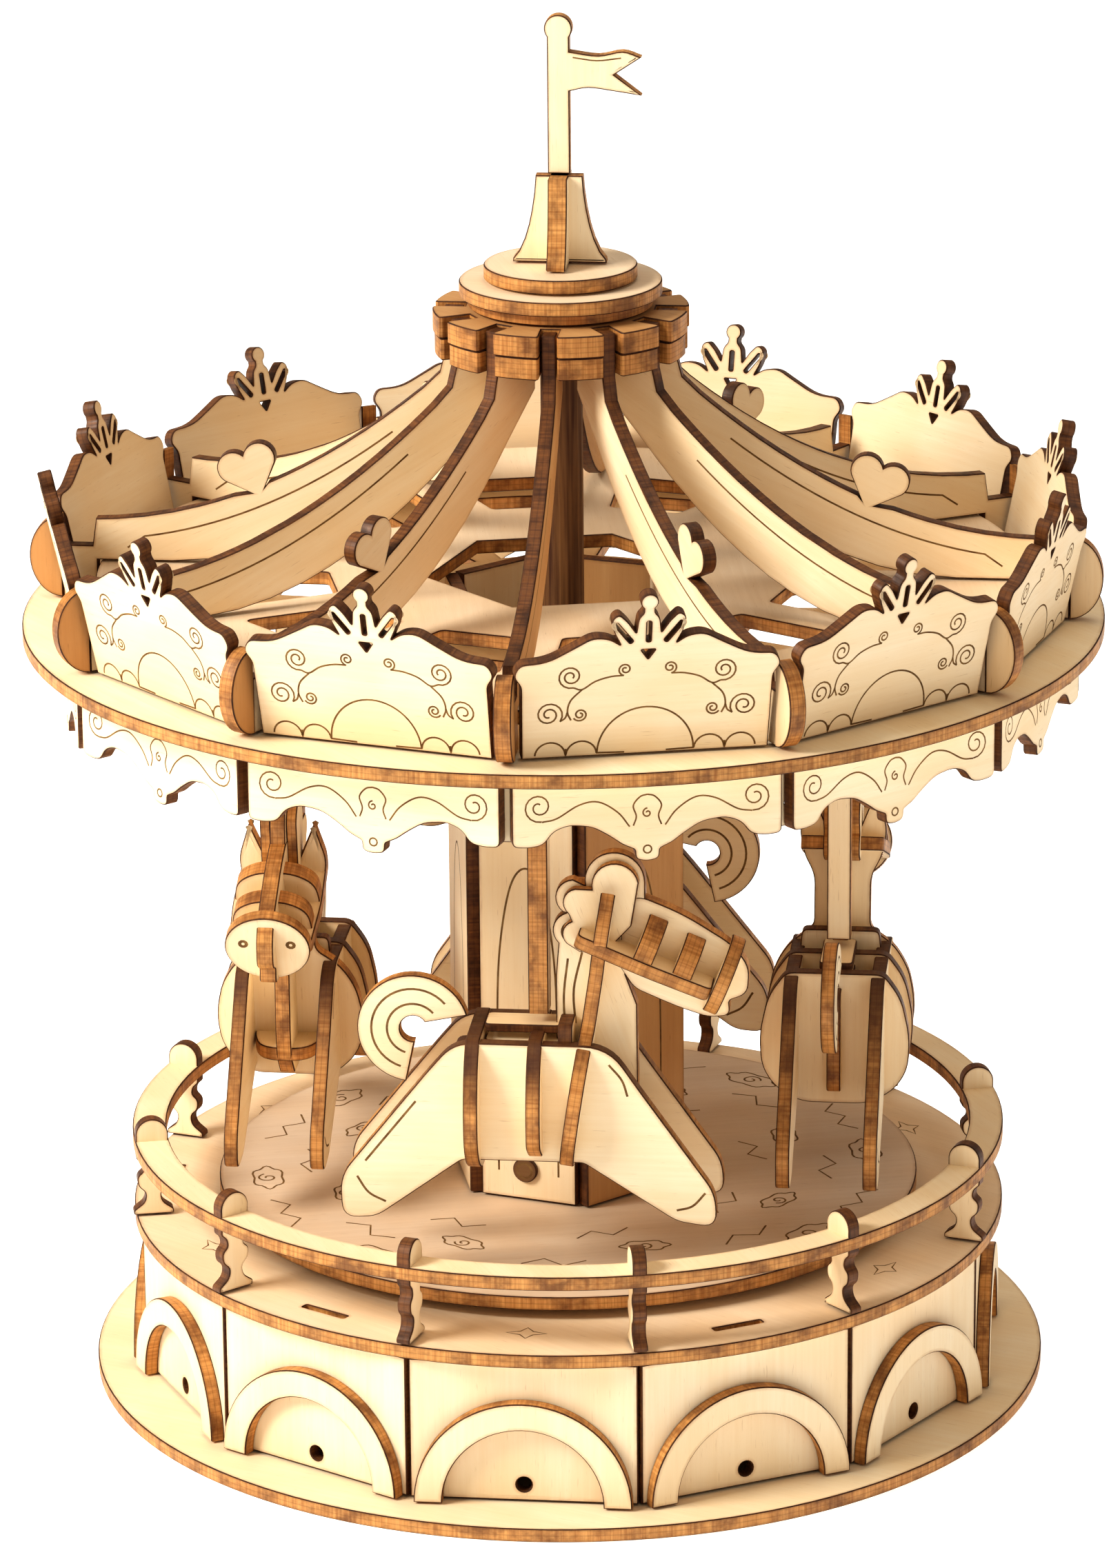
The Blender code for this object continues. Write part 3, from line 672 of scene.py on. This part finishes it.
def skirt_outline(half):
    """A pendant in the middle of the lower edge, a wave up on each side and a lobe at each corner."""
    right = [(0.0, -12.0, 0.6), (1.6, -11.7, 0.8), (1.7, -10.3, 0.3), (3.4, -9.5, 0.5), (5.0, -8.3, 1.0),
             (7.4, -6.8, 1.2), (10.6, -6.4, 1.2), (12.7, -7.2, 0.9), (14.0, -9.0, 0.9), (16.0, -9.3, 0.8),
             (half, -9.1, 0.9), (half, 0.0, 0.0)]
    return rounded(both_sides(right), 4)


def skirt_lines():
    """Volutes near the corners, a wave between them, a loop in the middle and a ring in the pendant."""
    volute = spiral((14.6, -3.6), 2.1, -100, 1.6)
    wave = curve([(14.2, -5.7), (12.2, -5.3), (9.2, -3.6), (6.6, -3.3), (4.0, -4.9), (2.4, -7.0)])
    loop = curve([(1.9, -6.9), (1.5, -5.6), (1.9, -4.1), (1.0, -2.9), (0.0, -2.6)])
    lines = [volute, wave, loop, flip(volute), flip(wave), flip(loop)]
    lines.append(spiral((0.0, -5.2), 0.7, 90, 1.2))
    lines.append(circle(0.55, 14, (0.0, -10.3)) + [(0.55, -10.3)])
    return lines


def drop_outline():
    """A hanging strip with a bead and a flared foot at its end."""
    right = [(1.3, -9.0, 0.4), (0.7, -7.6, 0.2), (1.0, -6.6, 0.4), (0.5, -5.8, 0.2), (0.9, -4.8, 0.4),
             (0.9, 0.0, 0.0)]
    return rounded(both_sides(right), 3)


def valance():
    """Twelve panels under the canopy's edge, with a drop over each corner."""
    top = high("valance_skirt")
    corner = 0.85
    half = SKIRT_FACE * math.tan(math.radians(HALF)) - corner
    middle = SKIRT_FACE - PLY / 2
    for k in range(SIDES):
        panel = Piece(f"valance_{k + 1:02d}", edge=DARK_EDGE)
        panel.sheet(skirt_outline(half), at=upright(STEP * k + HALF) @ offset(y=top, z=middle),
                    lines=skirt_lines(), tone=wobble(k + 9, 0.2), fringe=0.35, line=0.22)
        panel.finish("carousel", "valance_skirt")
        bead = Piece(f"valance_drop_{k + 1:02d}")
        bead.sheet(drop_outline(), at=upright(STEP * k) @ offset(y=top, z=middle + 0.2), turn=90.0,
                   fringe=0.15)
        bead.finish("carousel", "valance_skirt")


def roof_plate():
    """The disc on the canopy: windows between spokes that lie under the ribs."""
    spoke, near, far = 7.0, 33.0, 49.25
    slope = math.tan(math.radians(HALF))
    side = spoke / 2 / math.cos(math.radians(HALF))
    window = both_sides([(near * slope - side, -near, 0.8), (far * slope - side, -far, 1.5)])
    windows = [turned(rounded(window, 4), STEP * k + HALF) for k in range(SIDES)]
    disc = Piece("roof_disc", DECKING)
    disc.sheet(circle(ROOF_R, 120), [hexagon(19.6, -45), *windows], at=lying(low("roof_plate")),
               turn=80.0)
    disc.finish("carousel", "roof_plate")


def crown_outline():
    """Wide corners, shoulders, and a three-petal ornament with a round tip."""
    right = [(16.6, 0.0, 0.0), (16.9, 11.0, 0.6), (18.0, 12.6, 0.8), (17.2, 14.3, 1.0), (13.6, 14.5, 1.6),
             (10.4, 16.2, 1.8), (7.4, 17.9, 1.6), (5.2, 17.6, 0.9), (3.75, 16.6, 0.2), (4.75, 18.6, 0.9),
             (5.05, 20.4, 0.9), (4.0, 21.2, 0.7), (2.75, 19.9, 0.5), (1.7, 18.3, 0.15), (1.45, 20.4, 0.5),
             (0.75, 21.2, 0.4)]
    right += [(x, y, 0.0) for x, y in arc((0.0, 22.75), 1.2, -50, 90, 8)]
    return rounded(both_sides(right), 4)


def crown_holes():
    """Slots in the three petals and a small keyhole under them."""
    slot = box(-0.28, 0.28, 16.9, 19.9, 0.25)
    petal = turned(box(-0.26, 0.26, 0.0, 3.6, 0.25), -38.0, (2.25, 16.9))
    keyhole = rounded([(-0.95, 15.7, 0.2), (0.0, 14.3, 0.2), (0.95, 15.7, 0.2)], 3)
    return [slot, petal, flip(petal), keyhole]


def crown_lines():
    """A sunrise at the foot, and on each side two scallops and a scroll with four volutes."""
    sun = arc((0.0, 0.3), 6.5, 2, 178, 28)
    lines = [[(x, y * 1.04) for x, y in sun], [(-6.6, 0.45), (-2.8, 0.35)], [(2.8, 0.35), (6.6, 0.45)]]
    right = [arc((8.6, 0.3), 2.05, 4, 176, 14), arc((12.8, 0.3), 2.05, 4, 176, 14)]
    right.append([(10.7, 0.2), (10.7, 1.3)])
    right.append(spiral((10.3, 12.2), 1.75, -105, 1.9))
    right.append(curve([(9.85, 10.5), (8.7, 10.2), (7.0, 11.3), (5.0, 11.9), (3.3, 12.0)]))
    right.append(spiral((3.0, 12.9), 0.95, -80, 1.6))
    right.append(curve([(8.7, 10.2), (10.2, 8.6), (10.6, 6.9), (10.1, 5.6)]))
    right.append(spiral((8.9, 6.4), 1.0, -30, -1.7))
    right.append(spiral((13.1, 6.6), 1.9, 215, -1.9))
    right.append(curve([(11.6, 5.5), (10.9, 6.0), (10.6, 6.9)]))
    for line in right:
        lines += [line, flip(line)]
    return lines


def crown_panels():
    """Twelve panels that lean outward on the canopy disc."""
    foot = low("rib_01")
    for k in range(SIDES):
        place = face_out(STEP * k + HALF, CROWN_FACE, foot, CROWN_LEAN)
        panel = Piece(f"crown_face_{k + 1:02d}", edge=DARK_EDGE)
        panel.sheet(crown_outline(), crown_holes(), at=place, lines=crown_lines(), fringe=0.3,
                    tone=wobble(k + 70, 0.3), line=0.25)
        panel.finish("carousel", f"crown_panel_{k + 1:02d}")


# ---------------------------------------------------------------- ribs, hub and top
def rib_top(radius):
    return RIB_LOW + RIB_RISE * ((RIB_OUT - radius) / RIB_RUN) ** 2


def rib_under(radius):
    """Flat on the roof plate as far in as `flat`, then a parabola that gains `rise` over `run`."""
    flat, run, rise = 56.0, 26.6, 8.8
    return high("roof_plate") + GAP + rise * (max(flat - radius, 0.0) / run) ** 2


def heart():
    right = arc((2.0, 1.4), 2.35, -35, 148, 14)
    left = arc((-2.0, 1.4), 2.35, 32, 215, 14)
    return [(0.9, -3.0)] + right + left[1:] + [(-0.9, -3.0)]


def rib_outline(hearted):
    """A curved rib with its tongue in the hub and a low notch where it passes the crown."""
    shelf = low("rib_01")
    end, notch = 72.0, 122.0
    outer = [(end, shelf), (end, notch), (67.6, notch), (67.0, RIB_LOW)]
    heart_r = 44.6
    over = [(r, rib_top(r)) for r in (64.0, 60.0, 56.0, 52.0, 49.5, 47.0)]
    if hearted:
        slope = math.degrees(math.atan(2 * RIB_RISE * (RIB_OUT - heart_r) / RIB_RUN ** 2))
        over += turned(heart(), -slope, (heart_r, rib_top(heart_r) + 2.6))
    over += [(r, rib_top(r)) for r in (42.0, 39.5, 37.0, 34.0, 31.0, 28.0, 25.5, 23.0, 21.0, 19.6)]
    under_hub = low("hub_ring") - GAP
    inner, slot, top = 7.5, 13.8, 158.0
    tongue = [(17.2, 148.6), (16.4, 151.7), (16.4, top), (slot, top), (slot, under_hub), (inner, under_hub)]
    under = [(inner, 148.0)] + [(r, rib_under(r)) for r in (14, 17, 20, 24, 28, 32, 36, 40, 45, 50, 56)]
    step = 66.9
    foot = [(step, rib_under(step)), (step, shelf)]
    return outer + over + tongue + under + foot


def fin_outline():
    """The round end of a rib, outside the crown: half an ellipse with a flat foot."""
    shelf = low("rib_01")
    wide, half_tall = 4.7, 6.0
    bulge = [(FIN_R + wide * x, shelf + half_tall * (1 + y)) for x, y in arc((0, 0), 1.0, -78, 90, 20)]
    return [(FIN_R, shelf)] + bulge


def ribs():
    """Twelve curved ribs; every other one carries a heart, and all end in a round fin."""
    line = [(r, rib_top(r) - 3.0) for r in range(24, 62, 2)] + [(62.5, 121.8)]
    for k in range(SIDES):
        # The front and back ribs get the toasted colour: painted shade.
        rib = Piece(f"canopy_rib_{k + 1:02d}", TOASTED_AND_SHADE if k in PAINTED_SHADE_RIBS else PALE, DARK_EDGE)
        rib.sheet(rib_outline(k % 2 == 1), at=radial(STEP * k), lines=[line], back=[line], turn=25.0,
                  tone=wobble(k + 90, 0.3), fringe=0.4, line=0.26)
        rib.finish("carousel", f"rib_{k + 1:02d}")
        # Every fin's full tone is painted shade, and the front and left fins also get the toasted colour as
        # painted shade.
        fin = Piece(f"rib_fin_{k + 1:02d}", TOASTED_AND_SHADE if k in PAINTED_SHADE_FINS else PALE)
        fin.sheet(fin_outline(), thick=2.4, at=radial(STEP * k), turn=90.0, tone=1.0, fringe=0.3)
        fin.finish("carousel", f"rib_{k + 1:02d}")


def notched(radius):
    """A disc with a notch for each rib's tongue, its corners eased."""
    depth_r = 13.4
    half = PLY / 2 + GAP
    lip = math.degrees(math.asin(half / radius)) + 1.6
    eased = [(radius - 0.5, half), (radius - 0.12, half + 0.22)]
    outline = []
    for k in range(SIDES):
        outline += turned([(depth_r, -half), (depth_r, half)] + eased, STEP * k)
        outline += arc((0, 0), radius, STEP * k + lip, STEP * (k + 1) - lip, 8)
        outline += turned([(x, -y) for x, y in reversed(eased)], STEP * (k + 1))
    return outline


def hub_and_caps():
    """Two notched layers around the ribs' tongues, then a spacer and two caps."""
    seam = 0.06
    foot, top = low("hub_ring"), high("hub_ring")
    layer = (top - foot - seam) / 2
    hub = Piece("hub_layers", TOASTED_AND_SHADE)
    for i, radius in enumerate((HUB_R - 0.25, HUB_R)):
        hub.sheet(notched(radius), [circle(3.3, 24)], thick=layer,
                  at=lying(foot + i * (layer + seam), layer), tone=0.4, turn=40.0 * i, fringe=0.3)
    hub.finish("carousel", "hub_ring", slot="scorched_plywood")
    foot, cap_foot = low("cap_large"), high("cap_large") - PLY
    spacer = cap_foot - foot - 0.02
    # The spacer gets the toasted colour at full tone: painted shade under the large cap.
    caps = Piece("cap_discs", TOASTED_AND_SHADE)
    caps.sheet(circle(13.0, 70), thick=spacer, at=lying(foot, spacer), tone=1.0)
    caps.finish("carousel", "cap_large", slot="scorched_plywood")
    large = Piece("cap_disc_large", DECKING)
    large.sheet(circle(CAP_LARGE_R, 90), at=lying(cap_foot), turn=15.0)
    large.finish("carousel", "cap_large", slot="scorched_plywood")
    small = Piece("cap_disc_small", DECKING)
    small.sheet(circle(CAP_SMALL_R, 80), at=lying(low("cap_small")), turn=70.0)
    small.finish("carousel", "cap_small", slot="scorched_plywood")


def finial():
    """Two flared fins crossing on the axis; the one seen edge on is thicker."""
    foot, top = low("finial"), high("finial")
    half = [(6.6, 0.0), (6.55, 0.5), (5.7, 1.6), (4.9, 3.4), (4.3, 5.4), (3.85, 7.6), (3.5, 10.0),
            (3.3, top - foot)]
    outline = [(x, y + foot) for x, y in mirrored(half)]
    fins = Piece("finial_fins")
    for azimuth, thick in ((0.0, PLY), (90.0, 2.7)):
        fins.sheet(outline, thick=thick, at=upright(azimuth), turn=90.0, fringe=0.3)
    fins.finish("carousel", "finial", slot="scorched_plywood")


def flag():
    """A flat pole with a round head and a waving swallow-tailed flag."""
    foot, top = low("flag"), high("flag")
    half, head = 1.55, 1.95
    outline = [(-half, foot), (half, foot), (half, 189.2)]
    outline += curve([(half, 189.2), (4.2, 189.7), (7.6, 189.3), (11.6, 188.7)], 4)[1:]
    outline += [(7.8, 191.6)] + curve([(11.6, 194.1), (9.0, 194.9), (5.6, 194.3), (half, 194.8)], 4)
    outline += arc((0.0, top - head), head, -37, 217, 22)
    fold = curve([(half + 0.5, 194.0), (5.4, 193.6), (8.8, 194.0)], 4)
    Piece("flag_plate").sheet(outline, at=upright(0.0), lines=[fold], back=[fold], turn=90.0,
                              fringe=0.3, line=0.2).finish("carousel", "flag")


# ---------------------------------------------------------------- horses
def body_side():
    """Body and splayed slab legs of a galloping horse."""
    return rounded([(-26.8, 38.2, 2.6), (-21.9, 38.6, 1.4), (-9.8, 47.5, 0.6), (7.2, 47.5, 0.6),
                    (20.2, 39.2, 1.4), (25.9, 38.4, 2.6), (25.6, 43.6, 2.0), (15.0, 58.6, 2.0),
                    (10.8, BODY_TOP, 4.5), (-10.8, BODY_TOP, 4.5), (-14.4, 60.6, 2.0),
                    (-27.0, 44.6, 2.4)], 6)


def body_lines():
    """Strokes at the hooves, along the thigh and on the shoulder."""
    return [curve([(-24.6, 44.6), (-23.0, 42.2), (-20.6, 40.9)]), [(-23.4, 46.9), (-16.2, 56.0)],
            curve([(24.2, 43.6), (22.4, 41.6), (20.2, 40.9)]),
            curve([(13.4, 57.6), (12.6, 60.0), (10.8, 62.2)])]


def body_slice(bottom):
    """Cross slice of the body: a barrel, wide until close to its top."""
    right = [(5.0, bottom, 2.0), (8.6, bottom + 2.2, 2.0), (10.5, 50.6, 2.0), (10.9, 55.6, 2.5),
             (9.6, 61.6, 2.0), (7.0, BODY_TOP + 0.4, 1.2)]
    return rounded(both_sides(right), 5)


def neck_outline():
    """Cross slice of chest, neck and head, with two ears on top."""
    right = [(6.0, 46.2, 2.0), (10.0, 50.0, 3.0), (10.9, 55.6, 3.0), (9.8, 61.0, 2.5), (7.6, 64.4, 1.6),
             (4.1, 66.8, 1.2), (4.1, 74.4, 1.5), (5.8, 77.6, 1.5), (6.4, 81.4, 1.5), (4.7, 87.0, 0.3),
             (2.1, 80.6, 0.8)]
    return rounded(both_sides(right), 5)


def mane_outline():
    """Middle plate: chest, neck, a lobed mane behind and a forelock above."""
    mane = arc((11.2, 87.0), 4.2, 0, 190, 18) + arc((5.6, 84.4), 2.7, 95, 232, 10)
    mane += arc((5.2, 79.6), 2.7, 105, 225, 9) + [(2.9, 73.0), (2.9, 64.2), (4.6, 48.2)]
    return mane + [(10.6, 48.2), (13.6, 51.4), (14.3, 56.0), (14.2, 69.0), (12.6, 73.4), (13.6, 79.0),
                   (15.4, 84.0)]


def mane_lines():
    """A curl in each lobe of the mane and two hairs down the neck."""
    return [spiral((11.4, 86.8), 2.6, 200, -1.3), arc((5.7, 84.2), 1.5, 100, 230, 8),
            arc((5.3, 79.4), 1.5, 100, 230, 8), curve([(4.2, 64.5), (4.0, 70.0), (4.6, 75.5)]),
            curve([(5.6, 66.0), (5.4, 71.0), (6.6, 76.5)])]


def mane_layer():
    """The shorter layer glued on each side of the mane."""
    mane = arc((11.4, 86.8), 3.3, 10, 190, 14) + arc((6.2, 84.2), 2.1, 100, 230, 8)
    return mane + arc((6.0, 79.6), 2.0, 110, 225, 8) + [(6.4, 77.0), (10.5, 77.6), (13.6, 81.0)]


def head_outline():
    """Middle plate of the head: a long curved nose, a round muzzle, a mouth notch and a chin."""
    return rounded([(12.0, 74.2, 0.0), (13.8, 71.4, 1.2), (19.6, 68.9, 2.0), (24.2, 67.4, 1.2),
                    (27.2, 67.8, 1.2), (27.0, 70.0, 0.5), (29.6, 71.0, 1.4), (29.9, 75.0, 1.6),
                    (27.6, 78.2, 2.0), (20.6, 82.6, 3.0), (14.6, 85.0, 1.5), (12.0, 84.0, 0.0)], 5)


def head_slice(radius):
    """Half a barrel across the head: flat below, round above."""
    right = [(radius * 0.9, -1.1, 0.6), (radius, 0.8, 1.5), (radius * 0.92, radius * 0.7, 2.2),
             (radius * 0.42, radius, 2.2)]
    return rounded(both_sides(right), 5)


def tail_outline():
    """A thick open ring, its gap at the lower front, joined to the body."""
    return arc(TAIL, 7.9, 16, 262, 44) + arc(TAIL, 1.9, 275, 30, 16)


def spine_outline():
    """The lying plate inside the body, seen from above: square at the rump, round at the chest."""
    return rounded([(-9.0, -5.2, 1.0), (8.0, -5.2, 4.0), (13.6, -3.4, 3.0), (13.6, 3.4, 3.0),
                    (8.0, 5.2, 4.0), (-9.0, 5.2, 1.0)])


def saddle_back():
    """The cross slice that closes the saddle: a narrow foot and a wider, round-topped back."""
    return rounded(both_sides([(4.6, 61.6, 0.4), (4.9, 63.8, 0.6), (5.9, 64.2, 0.5), (5.6, 67.3, 0.9)]))


def head_floor():
    """The plate through the middle of the head, along the nose, seen from above."""
    return rounded([(-1.0, -6.0, 1.0), (10.0, -6.4, 2.0), (18.9, -5.9, 1.0), (18.9, 5.9, 1.0),
                    (10.0, 6.4, 2.0), (-1.0, 6.0, 1.0)])


def horse_body(node, home):
    """Two side plates, cross slices, neck, the plates inside them, and the tail's ring."""
    inside = (56.0, 62.0)      # the edges under the saddle are scorched between these heights
    lines = body_lines()
    body = Piece(f"{node}_body")
    for side in (-1, 1):
        marks = {"lines": lines} if side < 0 else {"back": lines}
        body.sheet(body_side(), at=home @ offset(y=BODY_HALF * side) @ upright(0.0), tone=0.1,
                   burn=(52.0, 62.0), **marks)
    for x, bottom in ((-8.2, 45.4), (0.5, 47.0)):
        body.sheet(body_slice(bottom), at=home @ offset(x=x) @ upright(90.0), turn=90.0, tone=0.5,
                   burn=inside)
    belly = 46.0
    slant = offset(x=4.6, z=belly) @ spin(8.5, "Y") @ offset(z=-belly)
    body.sheet(neck_outline(), at=home @ slant @ upright(90.0), turn=90.0, tone=0.4)
    body.sheet(box(-11.4, 3.0, 47.6, 63.0, 1.5), at=home @ upright(0.0), tone=0.6, burn=inside)
    body.sheet(spine_outline(), at=home @ offset(z=52.0), tone=0.3)
    rings = [arc(TAIL, radius, 40, 252, 26) for radius in (5.9, 3.7)]
    body.sheet(tail_outline(), at=home @ upright(0.0), tone=0.1, fringe=0.4, lines=rings, back=rings)
    body.finish("carousel", node, slot="horse_plywood")


def horse_saddle(node, home):
    """Two small plates on the back and an upright one at their front end."""
    saddle = Piece(f"{node}_saddle", edge=DARK_EDGE)
    for height in (63.0, 65.4):
        saddle.sheet(box(-7.0, 3.6, -2.4, 2.4, 0.8), thick=1.2, at=home @ offset(z=height), tone=0.3,
                     fringe=0.2)
    saddle.sheet(saddle_back(), at=home @ offset(x=4.6) @ upright(90.0), turn=90.0)
    saddle.finish("carousel", node, slot="horse_plywood")


def horse_head(node, home):
    """Mane and nose plates in the middle, and a floor, two slices and a muzzle disc along the nose."""
    head = Piece(f"{node}_head")
    head.sheet(mane_outline(), thick=2.2, at=home @ upright(0.0), turn=70.0, fringe=0.35,
               lines=mane_lines(), back=mane_lines(), tone=0.05)
    for side in (-1, 1):
        head.sheet(mane_layer(), thick=1.5, at=home @ offset(y=1.9 * side) @ upright(0.0), turn=70.0,
                   fringe=0.3)
    head.sheet(head_outline(), thick=2.4, at=home @ upright(0.0), turn=20.0, tone=0.1)
    nose = home @ offset(x=7.1, z=79.4) @ spin(22.0, "Y")
    head.sheet(head_floor(), at=nose, tone=0.4)
    for x, radius in ((8.6, 6.2), (14.4, 5.8)):
        head.sheet(head_slice(radius), thick=2.8, at=nose @ offset(x=x) @ upright(90.0), turn=90.0,
                   tone=0.5)
    nostrils = [circle(0.5, 10, (x, 0.8)) + [(x + 0.5, 0.8)] for x in (-3.4, 3.4)]
    head.sheet(ellipse(6.1, 5.6, 48), at=nose @ offset(x=20.0, z=1.6) @ upright(90.0), turn=90.0,
               lines=nostrils, line=0.5, tone=0.1)
    head.finish("carousel", node, slot="horse_plywood")


def horse(position, index):
    """Sheets cross-lapped on two side plates, heading along its own X, and the strip it hangs from."""
    node, pole = "horse_" + position, "pole_" + position
    place = spin(90.0 * index)
    home = place @ offset(y=-HORSE_R, z=low(node) - low("horse_front"))
    horse_body(node, home)
    horse_saddle(node, home)
    horse_head(node, home)
    strip = Piece(f"pole_strip_{position}")
    strip.sheet(box(-1.7, 1.7, low(pole), high(pole)), thick=2.8,
                at=place @ offset(x=0.5, y=-HORSE_R) @ upright(90.0), turn=90.0, fringe=0.3, tone=0.2)
    strip.finish("carousel", pole, slot="horse_plywood")


# ---------------------------------------------------------------- studio
def floor():
    """A wide sheet of pale paper, just under the base, that glows a little so it stays white."""
    wide, drop = 4.0, 0.0001
    corners = [(-wide, -wide, 0), (wide, -wide, 0), (wide, wide, 0), (-wide, wide, 0)]
    mesh = bpy.data.meshes.new("floor")
    mesh.from_pydata(corners, [], [(0, 1, 2, 3)])
    plane = bpy.data.objects.new("floor", mesh)
    plane.location.z = -drop
    bpy.context.scene.collection.objects.link(plane)
    s = Shader("floor_paper")
    place = s.node("ShaderNodeTexCoord").outputs["Object"]
    noise = s.node("ShaderNodeTexNoise", Vector=place, Scale=900.0, Detail=3.0).outputs["Fac"]
    colour = s.mix(noise, (0.93, 0.93, 0.92, 1.0), (0.95, 0.95, 0.945, 1.0))
    s.surface.inputs["Emission Color"].default_value = (1.0, 1.0, 1.0, 1.0)
    s.surface.inputs["Emission Strength"].default_value = 0.60
    mesh.materials.append(s.finish(colour, s.spread(noise, 0.3, 0.7, 0.8, 0.9), noise, 0.02, 0.0001))


def towards(azimuth, elevation):
    """The direction from the carousel to a lamp or the camera, angles in radians."""
    return Vector((math.sin(azimuth) * math.cos(elevation), -math.cos(azimuth) * math.cos(elevation),
                   math.sin(elevation)))


def studio():
    """Warm, soft light: a key lamp from the left, a weak fill from the right, one high behind."""
    world = bpy.data.worlds.new("studio")
    world.use_nodes = True
    background = world.node_tree.nodes["Background"]
    background.inputs["Color"].default_value = (1.0, 0.92, 0.81, 1.0)
    background.inputs["Strength"].default_value = 0.34
    bpy.context.scene.world = world
    bpy.context.scene.view_settings.view_transform = "Standard"
    bpy.context.scene.view_settings.look = "Medium High Contrast"

    middle = Vector((0, 0, 0.08))
    for name, azimuth, elevation, away, size, power, colour in (
            ("key", -62.0, 36.0, 0.9, 0.35, 9.0, (1.0, 0.96, 0.88)),
            ("fill", 60.0, 22.0, 1.1, 0.8, 0.8, (1.0, 0.88, 0.74)),
            ("top", 160.0, 72.0, 1.1, 0.6, 2.0, (1.0, 0.96, 0.88))):
        lamp = bpy.data.lights.new(name, "AREA")
        lamp.size = size
        lamp.energy = power
        lamp.color = colour
        light = bpy.data.objects.new(name, lamp)
        back = towards(math.radians(azimuth), math.radians(elevation))
        light.location = back * away + middle
        light.rotation_euler = back.to_track_quat("Z", "Y").to_euler()
        bpy.context.scene.collection.objects.link(light)


def camera():
    """A long lens, a little above and to the right of the front."""
    azimuth, elevation, roll = (math.radians(d) for d in (6.2, 18.2, -0.5))
    distance, height, aside = 0.970, 0.0875, 0.0007
    back = towards(azimuth, elevation)
    side = Vector((math.cos(azimuth), math.sin(azimuth), 0.0))
    up = back.cross(side)
    across = side * math.cos(roll) + up * math.sin(roll)
    target = Vector((0.0, 0.0, height)) - side * aside
    lens = bpy.data.cameras.new("camera")
    lens.sensor_fit = "VERTICAL"
    lens.sensor_height = 24.0
    lens.lens = 103.2
    lens.clip_end = 20.0
    made = bpy.data.objects.new("camera", lens)
    bpy.context.scene.collection.objects.link(made)
    frame_of_view = Matrix((across, back.cross(across), back)).transposed().to_4x4()
    made.matrix_world = Matrix.Translation(target + back * distance) @ frame_of_view
    bpy.context.scene.camera = made


def main():
    base_plate()
    drum_panels()
    stage_plate()
    rail()
    bearing()
    deck()
    column()
    canopy_disc()
    valance()
    roof_plate()
    crown_panels()
    ribs()
    hub_and_caps()
    finial()
    flag()
    for index, position in enumerate(("front", "right", "back", "left")):
        horse(position, index)
    floor()
    studio()
    camera()


main()
